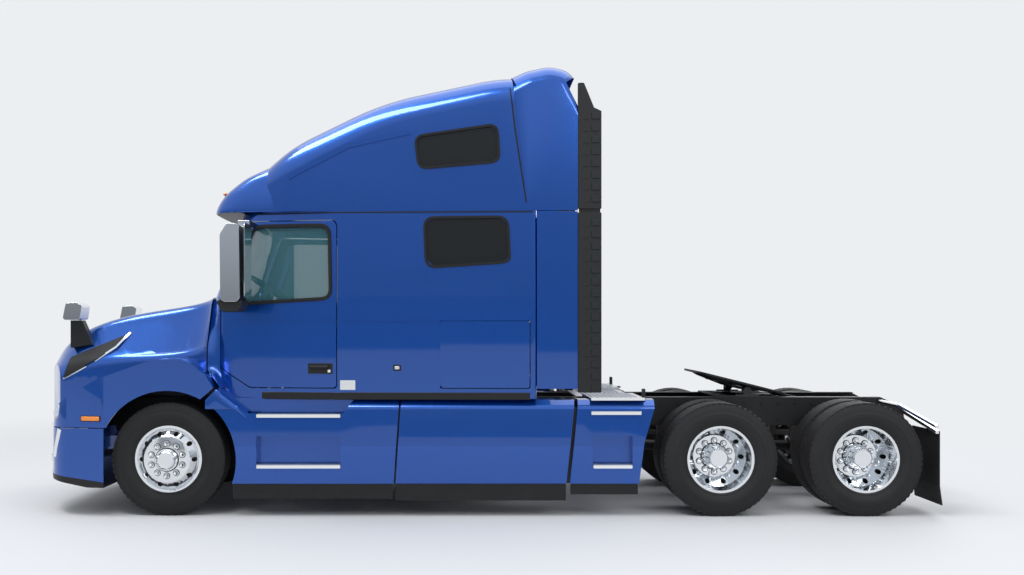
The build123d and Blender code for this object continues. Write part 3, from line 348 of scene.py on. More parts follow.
# %% Smooth shading and rounded edges
def finish_mesh(obj, material, sharp=32):
    """Shade a mesh smooth up to its sharp edges and give it a finish."""
    obj.data.materials.clear()
    obj.data.materials.append(material)
    for face in obj.data.polygons:
        face.use_smooth = True
    obj.data.set_sharp_from_angle(angle=math.radians(sharp))


def rounded(obj, width, segments=2):
    """Round the sharp edges of an object with a bevel that keeps flat faces flat."""
    bevel = obj.modifiers.new("rounded_edges", "BEVEL")
    bevel.width = width
    bevel.segments = segments
    bevel.limit_method = "ANGLE"
    bevel.angle_limit = math.radians(35)
    bevel.use_clamp_overlap = True
    bevel.harden_normals = True


print("shading and rounding")

# %% Dress a node
replaced = []
body_of = {node: body for body, nodes in frame["record"]["behaviour"]["bodies"].items() for node in nodes}


def dressed(node, material, bevel=0.003, segments=2, sharp=32):
    """A copy of a node's mesh with merged corners, flat faces joined and edges rounded."""
    mesh = frame["nodes"][node].data.copy()
    mesh.name = node + "_dressed"
    bm = bmesh.new()
    bm.from_mesh(mesh)
    bmesh.ops.remove_doubles(bm, verts=bm.verts, dist=0.00002)
    bmesh.ops.dissolve_limit(bm, angle_limit=math.radians(0.6), verts=bm.verts, edges=bm.edges)
    bmesh.ops.recalc_face_normals(bm, faces=bm.faces)
    bm.to_mesh(mesh)
    bm.free()
    obj = bpy.data.objects.new(node + "_dressed", mesh)
    scene.collection.objects.link(obj)
    finish_mesh(obj, material, sharp)
    if bevel:
        rounded(obj, bevel, segments)
    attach(obj, body_of[node])
    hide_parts(node)
    replaced.append(node)
    return obj


print("nodes with a body", len(body_of))

# %% [markdown]
# Painted panels. The cab, the roof, the hood, the doors and the fairings are pressed or moulded shells that
# share one paint. Their folds are wider than those of metal brackets, so they get a wider rounding.

# %% Painted panels
for node in ("cab_shell", "roof_cap", "side_panels", "hood", "roof_trim"):
    dressed(node, blue_paint, 0.006, 3)
for node in ("step_fairings", "tank_fairings", "rear_fairings"):
    dressed(node, blue_paint, 0.004, 3)
for side_name, _ in sides:
    dressed("door_" + side_name, blue_paint, 0.004, 2)
    dressed("hatch_" + side_name, blue_paint, 0.004, 2)
print("panels", len(replaced))

# %% [markdown]
# The bumper. It is painted above and bare dark plastic below, where stones hit it. Two materials on one mesh
# need an edge where they meet, so the mesh is cut by a sloping plane first, and the faces below the cut take
# the second material. Splitting the piece in two would leave an open seam.

# %% Bumper and its valance
valance_slope = 0.12


def second_finish(obj, material, chosen, cut_place, cut_way):
    """A second finish on the faces that are chosen, after a straight cut through the mesh."""
    bm = bmesh.new()
    bm.from_mesh(obj.data)
    bmesh.ops.bisect_plane(bm, geom=bm.verts[:] + bm.edges[:] + bm.faces[:], plane_co=cut_place, plane_no=cut_way)
    for face in bm.faces:
        if chosen(face.calc_center_median(), face.normal):
            face.material_index = 1
    bm.to_mesh(obj.data)
    bm.free()
    obj.data.materials.append(material)


valance = at(-0.9, 0, 0.345)
second_finish(dressed("bumper", blue_paint, 0.006, 3), satin_black,
              lambda centre, normal: centre.z < valance.z - valance_slope * (centre.x - valance.x),
              valance, (valance_slope, 0, 1))
print("bumper dressed")

# %% [markdown]
# Plastic, rubber, bare metal and glass. Most of the frame's other pieces keep their shape and differ in finish
# and in how wide their edges are rounded: castings more than sheet metal, and glass not at all. One table says
# both, because a call for each of them would hide the pattern.

# %% Plastic, rubber, metal and glass pieces
for material, bevel, segments, nodes in (
        (black_plastic, 0.006, 3, "side_extenders hood_scoops dashboard steering_wheel"),
        (satin_black, 0.003, 2, "grille frame fairing_bars leaf_springs radiator driveshaft"),
        (soft_rubber, 0.002, 2, "skirts mudflaps"),
        (cast_black, 0.004, 2, "drive_axles steer_axle rear_suspension knuckle_left knuckle_right"),
        (cast_black, 0.004, 2, "fifth_wheel_base"),
        (cast_black, 0.004, 3, "fifth_wheel_plate"),
        (cast_grey, 0.008, 2, "engine"),
        (chrome, 0.003, 2, "flap_hangers"),
        (brushed, 0.002, 2, "deck_plate step_treads"),
        (brushed, 0.004, 2, "fuel_tanks"),
        (red_lens, 0.004, 2, "tail_lamps"),
        (window_glass, 0.0, 0, "windshield door_glass_left door_glass_right"),
        (dark_glass, 0.0, 0, "sleeper_windows"),
        (lens_glass, 0.0, 0, "headlamps")):
    for node in nodes.split():
        dressed(node, material, bevel, segments)
print("nodes dressed", len(replaced))

# %% [markdown]
# Mirrors. The housings are chrome outside. The stalks of the hood mirrors, the arms of the door mirrors and the
# faces that look back are black, so these pieces are cut and given a second finish like the bumper. Separate
# housings would have to be fitted round every arm.

# %% Mirrors
stalk_top = 1.742
arm_end_y = 1.17
second_finish(dressed("hood_mirrors", chrome, 0.008, 4), satin_black, lambda centre, normal: centre.z < stalk_top,
              (0, 0, stalk_top), (0, 0, 1))
for side_name, side in sides:
    second_finish(dressed("mirror_" + side_name, chrome, 0.012, 4), black_plastic,
                  lambda centre, normal: normal.x > 0.6 or abs(centre.y) < arm_end_y,
                  (0, side * arm_end_y, 0), (0, 1, 0))
print("nodes dressed", len(replaced))

# %% [markdown]
# Rims. They are polished aluminium, turned and drilled in the engineering model, so they only need a fine
# rounding. A lower limit for sharp edges keeps the rings of the disc crisp.

# %% Rims
for node in ("front_rim_left", "front_rim_right", "forward_rims_left", "forward_rims_right", "rearward_rims_left",
             "rearward_rims_right"):
    dressed(node, polished, 0.002, 2, 25)
print("nodes dressed", len(replaced))

# %% [markdown]
# Tyres. A truck tyre is a rubber ring with ribs on its wall, grooves round its tread and short blocks at its
# shoulder. It could be sculpted or made of one tile bent round a circle. A profile spun round the axle is
# exact and light, so it carries walls and grooves, and only the blocks are separate shapes on top. The
# makers of new pieces, turned rings and blocks are defined here, where they are first needed.


# %% Makers of new pieces
def new_piece(name, bm, material, body="chassis", sharp=40, bevel=0.0):
    """A new piece from a mesh under construction."""
    bmesh.ops.remove_doubles(bm, verts=bm.verts, dist=0.00001)
    bmesh.ops.recalc_face_normals(bm, faces=bm.faces)
    mesh = bpy.data.meshes.new(name)
    bm.to_mesh(mesh)
    bm.free()
    obj = bpy.data.objects.new(name, mesh)
    scene.collection.objects.link(obj)
    finish_mesh(obj, material, sharp)
    if bevel:
        rounded(obj, bevel)
    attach(obj, body)
    return obj


def turned(bm, profile, centre, steps=64, axis=(0, 1, 0)):
    """A ring turned about an axis from (distance along the axis, radius) points."""
    axis = Vector(axis)
    side = Vector((0, 0, 1)) if abs(axis.z) < 0.5 else Vector((1, 0, 0))
    points = [bm.verts.new(Vector(centre) + axis * along + side * radius) for along, radius in profile]
    edges = [bm.edges.new((points[i], points[i + 1])) for i in range(len(points) - 1)]
    bmesh.ops.spin(bm, geom=points + edges, cent=centre, axis=axis, angle=2 * math.pi, steps=steps, use_merge=True,
                   use_duplicate=False)


def block(bm, low, high):
    """A block between two corners."""
    made = bmesh.ops.create_cube(bm, size=1)["verts"]
    bmesh.ops.scale(bm, vec=[high[axis] - low[axis] for axis in range(3)], verts=made)
    bmesh.ops.translate(bm, vec=[(high[axis] + low[axis]) / 2 for axis in range(3)], verts=made)
    return made


print("makers of pieces, turned rings and blocks")

# %% Tyre section
half = tyre_half - 0.001
outer = tyre_radius + 0.0006
rim_radius = 0.298
bead_radius = rim_radius - 0.006
tread_half = 0.112
tread_depth = 0.011
groove_places = (0.078, 0.028, -0.028, -0.078)
wall = [(0.100, bead_radius), (0.116, 0.303), (0.122, 0.312), (0.124, 0.318), (0.1215, 0.322), (0.131, 0.340),
        (half - 0.001, 0.372), (half, 0.386), (half - 0.0006, 0.392), (half - 0.002, 0.3935), (half, 0.396),
        (half - 0.001, 0.416), (half - 0.0025, 0.4185), (half - 0.004, 0.432), (0.130, 0.452), (0.125, 0.470),
        (0.118, outer - 0.020), (tread_half, outer - 0.006)]
tread = [(0.104, outer - 0.002)]
for groove in groove_places:
    edge = outer - 0.0008 - abs(groove) * 0.02
    tread += [(groove + 0.006, edge), (groove + 0.004, edge - tread_depth),
              (groove - 0.004, edge - tread_depth), (groove - 0.006, edge)]
tread += [(-0.104, outer - 0.002)]
tyre_profile = wall + tread + [(-along, radius) for along, radius in reversed(wall)]
print("points in the section", len(tyre_profile))

# %% Tyres
shoulder_blocks = 60


def make_tyre(name, x, y, body, side, length):
    """One tyre: the spun section and a ring of short blocks round each shoulder."""
    bm = bmesh.new()
    centre = (x, y, tyre_radius)
    turned(bm, [(along * side, radius) for along, radius in tyre_profile], centre, 96)
    for i in range(shoulder_blocks):
        for hand in (-1, 1):
            y_low, y_high = sorted((hand * 0.1185, hand * (0.1185 - length)))
            made = block(bm, (-0.015, y_low, outer - 0.0165), (0.015, y_high, outer - 0.0025))
            turn = Matrix.Rotation(2 * math.pi * i / shoulder_blocks + hand * 0.02, 4, "Y")
            bmesh.ops.transform(bm, matrix=Matrix.Translation(centre) @ turn, verts=made)
    return new_piece(name, bm, tyre_rubber, body)


for side_name, side in sides:
    tyre = make_tyre(f"front_tyre_{side_name}_dressed", steer_x, side * front_middle_y, "front_wheel_" + side_name,
                     side, 0.016)
    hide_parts("front_tyre_" + side_name)
    for row, x in drive_x.items():
        pair = [make_tyre(f"{row}_tyre_{side_name}_{place}", x, side * y, f"{row}_wheels_{side_name}", side, 0.030)
                for place, y in (("outer", outer_dual_y), ("inner", inner_dual_y))]
        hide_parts(f"{row}_tyres_{side_name}")
print("faces of a tyre", len(tyre.data.polygons))

# %% [markdown]
# Nuts and hub caps. Ten chrome covers sit over the nuts of each wheel, each in a dark seat, round a domed hub
# cap. A cover could be one turned profile, but three short cones give the same outline with fewer steps. The
# cap is turned from its own profile. Behind the discs, dark rings stand for the brake drums and are painted
# shade as well: they make the hand holes read dark, as the shade inside a wheel does.

# %% Nut covers and seats
nut_ring = 0.143
nut_count = 10


def rod(bm, start, end, radius, end_radius, segments):
    """A round bar or a cone between two points."""
    start, end = Vector(start), Vector(end)
    along = end - start
    made = bmesh.ops.create_cone(bm, cap_ends=True, segments=segments, radius1=radius, radius2=end_radius,
                                 depth=along.length)["verts"]
    turn = along.to_track_quat("Z", "Y").to_matrix().to_4x4()
    bmesh.ops.transform(bm, matrix=Matrix.Translation((start + end) / 2) @ turn, verts=made)


def on_nuts(bm, x, y, side, cones):
    """The same stack of cones over each nut: from and to along the axle, foot and top radius."""
    out = Vector((0, side, 0))
    for i in range(nut_count):
        angle = 2 * math.pi * (i + 0.5) / nut_count
        foot = Vector((x + nut_ring * math.cos(angle), side * y, tyre_radius + nut_ring * math.sin(angle)))
        for low, high, foot_radius, top_radius in cones:
            rod(bm, foot + out * low, foot + out * high, foot_radius, top_radius, 24)


print("nuts on a wheel", nut_count)

# %% Hubs
front_face_y = 1.203
disc_face_y = 0.922
front_dome = [(0.0, 0.100), (0.012, 0.101), (0.026, 0.097), (0.030, 0.086), (0.034, 0.083), (0.044, 0.078),
              (0.050, 0.066), (0.054, 0.045), (0.0565, 0.02), (0.057, 0.0)]
drive_dome = [(0.0, 0.118), (0.02, 0.117), (0.06, 0.112), (0.10, 0.105), (0.135, 0.096), (0.142, 0.090),
              (0.146, 0.072), (0.160, 0.068), (0.170, 0.058), (0.178, 0.035), (0.181, 0.012), (0.182, 0.0)]
wheel_ends = [("front", "front_wheel", steer_x, front_face_y, 0.0, 0.0, 0.0985, 0.050, front_dome)]
wheel_ends += [(row, row + "_wheels", x, disc_face_y, 0.002, 0.003, 0.1165, 0.044, drive_dome)
               for row, x in drive_x.items()]
for side_name, side in sides:
    for row, body, x, face, seat_gap, nut_gap, foot, tall, dome in wheel_ends:
        bm = bmesh.new()
        on_nuts(bm, x, face + seat_gap, side, [(-0.004, 0.0018, 0.0300, 0.0300)])
        turned(bm, [(-side * 0.004, foot), (side * 0.0018, foot), (side * 0.0018, foot + 0.009),
                    (-side * 0.004, foot + 0.009)], (x, side * (face + seat_gap), tyre_radius), 48)
        new_piece(f"{row}_nut_seats_{side_name}", bm, cast_black, f"{body}_{side_name}")
        bm = bmesh.new()
        on_nuts(bm, x, face + nut_gap, side, [(-0.004, 0.007, 0.0250, 0.0240), (0.005, tall * 0.72, 0.0200, 0.0185),
                                              (tall * 0.72 - 0.001, tall, 0.0185, 0.0110)])
        turned(bm, [(side * along, radius) for along, radius in dome], (x, side * face, tyre_radius))
        new_piece(f"{row}_hub_{side_name}", bm, chrome, f"{body}_{side_name}")
print("hubs", len(sides) * len(wheel_ends))


# %% Drums and painted shade behind the discs
def drum_and_shade_ring(name, body, x, y, near, far, inner_radius, outer_radius):
    """A dark ring behind a wheel's disc: a brake drum, and painted shade seen through the hand holes."""
    bm = bmesh.new()
    turned(bm, [(near, inner_radius), (near, outer_radius), (far, outer_radius), (far, inner_radius)],
           (x, y, tyre_radius), 48)
    new_piece(name, bm, cast_black, body)


# The dark rings are partly painted shade: they darken the view through the hand holes.
for side_name, side in sides:
    drum_and_shade_ring("front_drum_" + side_name, "front_wheel_" + side_name, steer_x, side * front_middle_y, side * 0.082,
         side * 0.076, 0.120, 0.272)
    for row, x in drive_x.items():
        drum_and_shade_ring(f"{row}_drum_{side_name}", f"{row}_wheels_{side_name}", x,
             side * ((outer_dual_y + inner_dual_y) / 2 - 0.030), 0.012, -0.012, 0.190, 0.270)
print("drums and painted shade behind the discs")

# %% [markdown]
# Strips on panels. Seals, creases and trims follow the curved sides. A strip could be modelled in the air and
# pushed onto the panel by a Shrinkwrap modifier. Here a line is drawn in the side view, and a ray from the side
# finds each point and the surface's direction there. Small cross sections stand on these points, and each is
# bridged to the next one, so the strip sits on the panel by construction.


# %% Rays that find a surface
def surface(*names):
    """A tree of the faces of some nodes or pieces, to find where a line meets them."""
    bm = bmesh.new()
    for name in names:
        bm.from_mesh((frame["nodes"].get(name) or bpy.data.objects[name]).data)
    tree = BVHTree.FromBMesh(bm)
    bm.free()
    return tree


def struck(tree, start, way):
    """Where a ray meets a surface, and the surface's normal on the ray's side."""
    hit, normal, _, _ = tree.ray_cast(start, way)
    if hit is not None and normal.dot(way) > 0:
        normal = -normal
    return hit, normal


def on_side(tree, x, z, side):
    """Point and outward normal of a side surface at a station and a height."""
    return struck(tree, at(x, side * 1.6, z), Vector((0, -side, 0)))


def laid(tree, points, side):
    """Points and normals of a side-view line, laid on a side surface."""
    found = [on_side(tree, x, z, side) for x, z in points]
    return [hit for hit, _ in found if hit is not None], [normal for hit, normal in found if hit is not None]


cab_side = surface("cab_shell", "door_left", "door_right", "door_glass_left", "door_glass_right", "hatch_left",
                   "hatch_right", "sleeper_windows", "side_panels")
door_side = surface("door_left", "door_glass_left", "door_right", "door_glass_right")
roof_side = surface("roof_cap", "sleeper_windows")
hood_side = surface("hood")
print("cab side at the crease", round(on_side(cab_side, 1.53, 1.744, -1)[0].y, 3))


# %% A strip along a line
def section(bm, point, normal, along, width, height):
    """A closed four-cornered loop across a path: a foot sunk into the surface and a narrower crown."""
    across = normal.cross(along).normalized()
    inner, outer = point - normal * 0.002, point + normal * height
    corners = (inner - across * width / 2, outer - across * width * 0.42,
               outer + across * width * 0.42, inner + across * width / 2)
    loop = [bm.verts.new(corner) for corner in corners]
    return [bm.edges.new((loop[k], loop[(k + 1) % 4])) for k in range(4)]


def ribbon(bm, path, normals, width, height, closed=False):
    """A strip that follows a path on a surface: sections across it, bridged from each one to the next."""
    count = len(path)
    loops = []
    for i in range(count):
        ahead = path[(i + 1) % count] if closed else path[min(i + 1, count - 1)]
        behind = path[i - 1] if closed else path[max(i - 1, 0)]
        loops.append(section(bm, path[i], normals[i], (ahead - behind).normalized(), width, height))
    for i in range(count if closed else count - 1):
        bmesh.ops.bridge_loops(bm, edges=loops[i] + loops[(i + 1) % count])
    if not closed:
        bmesh.ops.contextual_create(bm, geom=loops[0])
        bmesh.ops.contextual_create(bm, geom=loops[-1])


print("maker of strips")


# %% Finer lines and pairs of pieces
def dense(line, spacing=0.05, closed=False, parts=0):
    """Extra points along the stretches of a line, by spacing or by a number of parts."""
    points = [Vector(point) for point in line]
    fine = []
    for a, b in zip(points, points[1:] + points[:1] if closed else points[1:]):
        count = parts or max(1, int((b - a).length / spacing))
        fine += [a.lerp(b, k / count) for k in range(count)]
    return fine if closed else fine + [points[-1]]


def both_sides(name, material, draw, body="chassis", **more):
    """The same piece on both sides of the truck. Each door carries its own."""
    for side_name, side in sides:
        bm = bmesh.new()
        draw(bm, side)
        new_piece(f"{name}_{side_name}", bm, material, f"door_{side_name}" if body == "door" else body, **more)


print("helpers for lines and pairs")

# %% [markdown]
# Window seals. Each window is held by a black rubber ring. The ring's outline is typed as four or five corners
# and rounded with a curve through each, because a drawn circle segment would need a centre for every corner.


# %% Window seals
def smooth_corners(outline, radius, steps=5):
    """Points of a closed outline with rounded corners."""
    points = []
    for i, corner in enumerate(outline):
        here = Vector(corner)
        before, after = Vector(outline[i - 1]) - here, Vector(outline[(i + 1) % len(outline)]) - here
        reach = min(radius, before.length * 0.45, after.length * 0.45)
        start, end = here + before.normalized() * reach, here + after.normalized() * reach
        for t in (k / steps for k in range(steps + 1)):
            points.append((1 - t) ** 2 * start + 2 * t * (1 - t) * here + t ** 2 * end)
    return points


def seal(name, tree, outline, radius, width, height, body="chassis"):
    """A closed rubber ring round a window on both sides of the truck."""
    ring = dense(smooth_corners(outline, radius), closed=True)
    both_sides(name, soft_rubber, lambda bm, side: ribbon(bm, *laid(tree, ring, side), width, height, True), body)


seal("door_window_seal", door_side, [(0.495, 1.885), (0.735, 2.592), (1.432, 2.592), (1.447, 1.937)], 0.09, 0.034,
     0.010, "door")
seal("sleeper_window_seal", cab_side, [(2.281, 2.655), (3.022, 2.660), (3.040, 2.275), (2.966, 2.254),
                                       (2.300, 2.212)], 0.09, 0.026, 0.009)
seal("upper_window_seal", roof_side, [(2.198, 3.378), (2.928, 3.482), (2.950, 3.152), (2.235, 3.092)], 0.08, 0.026,
     0.009)
print("window seals")

# %% [markdown]
# Creases and seams. A pressed crease stiffens the door and the sleeper at belt height, a band runs up the roof,
# and dark joints close the roof's seams. On a dense mesh they could be sculpted in. As thin strips they keep
# the panels light and can be moved on their own.


# %% Creases and seams
def crease(name, tree, points, width, height, material, body="chassis"):
    """An open strip along a side-view line on both sides."""
    line = dense(points, 0.06)
    both_sides(name, material, lambda bm, side: ribbon(bm, *laid(tree, line, side), width, height), body)


crease("door_crease", door_side, [(0.60, 1.742), (1.20, 1.744), (1.485, 1.744)], 0.020, 0.007, blue_paint, "door")
crease("sleeper_crease", cab_side, [(1.53, 1.744), (2.20, 1.746), (3.24, 1.748)], 0.020, 0.007, blue_paint)
crease("roof_band", roof_side, [(1.06, 3.02), (1.6, 3.30), (2.15, 3.42)], 0.055, 0.009, blue_paint)
crease("rear_cap_seam", roof_side, [(3.045, 3.80), (3.090, 3.42), (3.145, 3.06), (3.200, 2.72)], 0.014, 0.003,
       soft_rubber)
crease("roof_seam", cab_side, [(0.75, 2.700), (1.6, 2.704), (3.24, 2.706)], 0.012, 0.004, soft_rubber)
print("creases and seams")

# %% [markdown]
# Hardware on the cab sides: the door's pull handle with its plate and lock, the sleeper's latch and a blank
# plate under the door. They are small moulded parts, so each is a low block with rounded edges, turned to lie
# on the surface that a ray finds. A dark foot carries each door mirror.


# %% Door handles and latches
def hardware(name, body, tree, centre, size, material, depth, bevel):
    """A low block on the side surface, on both sides of the truck."""
    def draw(bm, side):
        """The block, turned to lie on the surface."""
        hit, normal = on_side(tree, *centre, side)
        corners = block(bm, (-size[0] / 2, -size[1] / 2, -0.004), (size[0] / 2, size[1] / 2, depth))
        up = normal.cross(Vector((1, 0, 0))).normalized()
        up = -up if up.z < 0 else up
        turn = Matrix((up.cross(normal).normalized(), up, normal)).transposed().to_4x4()
        bmesh.ops.transform(bm, matrix=Matrix.Translation(hit) @ turn, verts=corners)

    both_sides(name, material, draw, body, bevel=bevel)


hardware("handle_plate", "door", door_side, (1.353, 1.312), (0.224, 0.094), black_plastic, 0.006, 0.003)
hardware("handle_grip", "door", door_side, (1.345, 1.326), (0.176, 0.026), satin_black, 0.034, 0.010)
hardware("handle_lock", "door", door_side, (1.435, 1.290), (0.026, 0.026), chrome, 0.012, 0.003)
hardware("latch_plate", "chassis", cab_side, (2.04, 1.32), (0.070, 0.055), black_plastic, 0.006, 0.003)
hardware("latch_button", "chassis", cab_side, (2.04, 1.32), (0.042, 0.028), polished, 0.010, 0.003)
hardware("blank_plate", "chassis", cab_side, (1.60, 1.165), (0.135, 0.085), white_plate, 0.003, 0.001)
print("handles, latches and plates")

# %% Mirror feet
upright = Matrix.Rotation(math.radians(90), 4, "X")
foot_outline = [(0.500, 1.905), (0.555, 1.812), (0.690, 1.812), (0.722, 1.860), (0.722, 1.915), (0.560, 1.930)]


def plate(bm, outline, thickness, place):
    """A flat plate from an outline in XY, thickened along Z, then moved to its place."""
    corners = [bm.verts.new((x, y, 0)) for x, y in outline]
    made = bmesh.ops.extrude_face_region(bm, geom=[bm.faces.new(corners)])
    lifted = [item for item in made["geom"] if isinstance(item, bmesh.types.BMVert)]
    bmesh.ops.translate(bm, vec=(0, 0, thickness), verts=lifted)
    bmesh.ops.transform(bm, matrix=place, verts=corners + lifted)
    return corners + lifted


foot_corners = [(steer_x + x, z) for x, z in foot_outline]
both_sides("mirror_foot", black_plastic, lambda bm, side: plate(
    bm, foot_corners, 0.300, Matrix.Translation((0, side * 1.205, 0)) @ upright), "door", bevel=0.012)
print("mirror feet")

# %% [markdown]
# The hood. Black intakes carry a bright lower trim, and amber marker lamps sit on the fenders. The trim is a
# strip like the seals, but the intake has small steps that a ray would follow, so its path is averaged a few
# times until it runs smooth.

# %% Hood trims and marker lamps
scoop_side = surface("hood_scoops", "hood")
scoop_lines = (("lower", [(-1.020, 1.212), (-0.90, 1.262), (-0.72, 1.372), (-0.545, 1.500)]),
               ("rear", [(-0.545, 1.502), (-0.500, 1.565), (-0.446, 1.625)]))
for side_name, side in sides:
    for label, line in scoop_lines:
        path, normals = laid(scoop_side, dense(line, parts=4), side)
        for _ in range(12):
            path = [path[0]] + [(a + c) / 2 for a, c in zip(path, path[2:])] + [path[-1]]
            normals = [normals[0]] + [(a + c).normalized() for a, c in zip(normals, normals[2:])] + [normals[-1]]
        bm = bmesh.new()
        ribbon(bm, path, normals, 0.022, 0.012)
        new_piece(f"scoop_trim_{label}_{side_name}", bm, chrome, "hood", 45)
hardware("side_marker", "hood", hood_side, (-0.68, 0.868), (0.172, 0.040), amber_lens, 0.016, 0.008)
hardware("side_marker_base", "hood", hood_side, (-0.68, 0.868), (0.188, 0.052), black_plastic, 0.006, 0.003)
print("hood trims and markers")

# %% [markdown]
# Mirror glass and lamp bowls. The mirror's glass is a thin silvered plate on the face that looks back. Behind
# each clear headlamp lens stand two bright bowls, turned about the truck's long axis. A light source in them
# isn't needed by day: their mirror finish gathers the sky.

# %% Mirror glass
facing_back = Matrix(((0, 0, 1, 0), (1, 0, 0, 0), (0, 1, 0, 0), (0, 0, 0, 1)))
glass_outline = smooth_corners([(1.195, 1.935), (1.505, 1.935), (1.505, 2.585), (1.195, 2.585)], 0.05)
for side_name, side in sides:
    _, mirror_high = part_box("mirror_" + side_name)
    bm = bmesh.new()
    plate(bm, [(side * y, z) for y, z in glass_outline], 0.003,
          Matrix.Translation((mirror_high.x, 0, 0)) @ facing_back)
    new_piece("mirror_glass_" + side_name, bm, chrome, "door_" + side_name)
print("mirror glass", len(glass_outline), "corners")

# %% Headlamp bowls
lamp_z = 0.953
bowl = [(0.0, 0.030), (-0.012, 0.046), (-0.030, 0.058), (-0.050, 0.064)]
for side_name, side in sides:
    bm = bmesh.new()
    for y, x in ((0.72, -0.98), (0.90, -0.935)):
        turned(bm, bowl, at(x, side * y, lamp_z), 40, (1, 0, 0))
        rod(bm, at(x - 0.005, side * y, lamp_z), at(x + 0.002, side * y, lamp_z), 0.031, 0.031, 32)
    new_piece("lamp_bowls_" + side_name, bm, chrome, "hood")
print("headlamp bowls")

# %% [markdown]
# The front. Bright horizontal bars cross the dark grille, fog lamps sit in the bumper, and a bright bezel runs
# down its corner. All of them follow the bent front, so a ray from the front finds it, as one from the side
# did before. The bars are set in a little, so that they stay within the grille's own depth.

# %% Grille bars
grille_low, grille_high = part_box("grille")
grille_front = surface("grille")
bar_count = 9
bar_end_y = 0.36


def on_front(tree, y, z, furthest=math.inf):
    """Point and normal of a front surface, or nothing where it lies further back than a limit."""
    hit, normal = struck(tree, Vector((-5, y, z)), Vector((1, 0, 0)))
    return (hit, normal) if hit is not None and hit.x < furthest else (None, None)


bm = bmesh.new()
for i in range(bar_count):
    z = grille_low.z + 0.05 + (grille_high.z - grille_low.z - 0.10) * i / (bar_count - 1)
    found = [on_front(grille_front, bar_end_y * (k / 8 - 1), z, grille_low.x + 0.15) for k in range(17)]
    found = [(hit + Vector((0.0048, 0, 0)), normal) for hit, normal in found if hit is not None]
    if len(found) > 3:
        ribbon(bm, *zip(*found), 0.016, 0.005)
new_piece("grille_bars", bm, chrome, "hood")
print("grille bars", bar_count)

# %% Fog lamps and bezels
bumper_front = surface("bumper")
bezel_line = [(-0.985, 0.770), (-1.005, 0.69), (-1.03, 0.60), (-1.045, 0.52)]


def fog_disc(bm, side, low, high, foot_radius, top_radius):
    """A low round disc on the bumper's face."""
    hit, normal = on_front(bumper_front, side * 0.78, 0.50)
    rod(bm, hit + normal * low, hit + normal * high, foot_radius, top_radius, 40)


both_sides("fog_rim", chrome, lambda bm, side: fog_disc(bm, side, -0.004, 0.006, 0.062, 0.058))
both_sides("fog_lens", lamp_white, lambda bm, side: fog_disc(bm, side, 0.005, 0.009, 0.047, 0.042))
both_sides("bumper_bezel", chrome, lambda bm, side: ribbon(bm, *laid(bumper_front, bezel_line, side), 0.050, 0.005),
           sharp=45)
print("fog lamps and bezels")

# %% [markdown]
# Front glass. A black seal runs round the windshield, and two wipers rest along its lower edge. The outline of
# the curved glass could be typed in, but it would be wrong after the next change of the frame. Rays walk
# outwards from its middle until they miss it, and the seal is laid where they stopped.

# %% Windshield seal
glass_front = surface("windshield")
glass_low, glass_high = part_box("windshield")
glass_middle_z = (glass_low.z + glass_high.z) / 2
cab_front = surface("windshield", "cab_shell", "roof_cap")
front_limit = steer_x + 1.2
found = []
for i in range(64):
    angle = 2 * math.pi * i / 64
    steps = 1
    while on_front(glass_front, math.cos(angle) * steps * 0.01, glass_middle_z + math.sin(angle) * steps * 0.01)[0]:
        steps += 1
    reach = (steps - 1) * 0.01 + 0.004
    found.append(on_front(cab_front, math.cos(angle) * reach, glass_middle_z + math.sin(angle) * reach, front_limit))
bm = bmesh.new()
ribbon(bm, *zip(*[pair for pair in found if pair[0] is not None]), 0.034, 0.008, closed=True)
new_piece("windshield_seal", bm, soft_rubber)
print("windshield", [round(value, 3) for value in (*glass_low, *glass_high)])


# %% Wipers
def bar(bm, points, radius, segments):
    """A round bar bent along points."""
    for a, b in zip(points, points[1:]):
        rod(bm, a, b, radius, radius, segments)


rest_z = glass_low.z + 0.03
for label, start_y, end_y in (("left", -0.10, -0.78), ("right", 0.62, -0.04)):
    foot, foot_normal = on_front(cab_front, start_y, rest_z - 0.045)
    blade = []
    for t in (k / 8 for k in range(9)):
        hit, normal = on_front(glass_front, start_y + (end_y - start_y) * t,
                               rest_z + 0.035 + 0.05 * math.sin(math.pi * t), front_limit)
        if hit is not None:
            blade.append(hit + normal * 0.010)
    bm = bmesh.new()
    bar(bm, blade, 0.0055, 8)
    if len(blade) > 5:
        rod(bm, foot + foot_normal * 0.004, foot + foot_normal * 0.030, 0.016, 0.012, 16)
        rod(bm, foot + foot_normal * 0.024, blade[4] + Vector((-0.014, 0, 0)), 0.008, 0.006, 10)
    new_piece("wiper_" + label, bm, satin_black)
print("wipers rest at", round(rest_z, 3))

# %% [markdown]
# The roof's front. A painted cap bulges out over the windshield and shades it. It could be cut from a ball, but
# its outline is known in the side view and its plan from above, so a grid is laid out, each row moves to the
# outline at that height, each column to its place in plan, and the sheet is given a wall. A Subdivision
# Surface modifier smooths it.

# %% Front cap of the roof
cap_rows = [(2.716, 0.336), (2.735, 0.334), (2.78, 0.350), (2.82, 0.371), (2.86, 0.398), (2.90, 0.430),
            (2.945, 0.482), (2.99, 0.539), (3.04, 0.602), (3.09, 0.708), (3.149, 0.842), (3.21, 0.985)]
cap_plan = [(-1.085, 0.66), (-1.062, 0.50), (-1.035, 0.35), (-1.015, 0.23), (-0.985, 0.14), (-0.94, 0.065),
            (-0.87, 0.02), (-0.75, 0.0), (-0.50, -0.012), (-0.25, -0.020), (0.0, -0.022)]
cap_plan += [(-y, back) for y, back in reversed(cap_plan[:-1])]


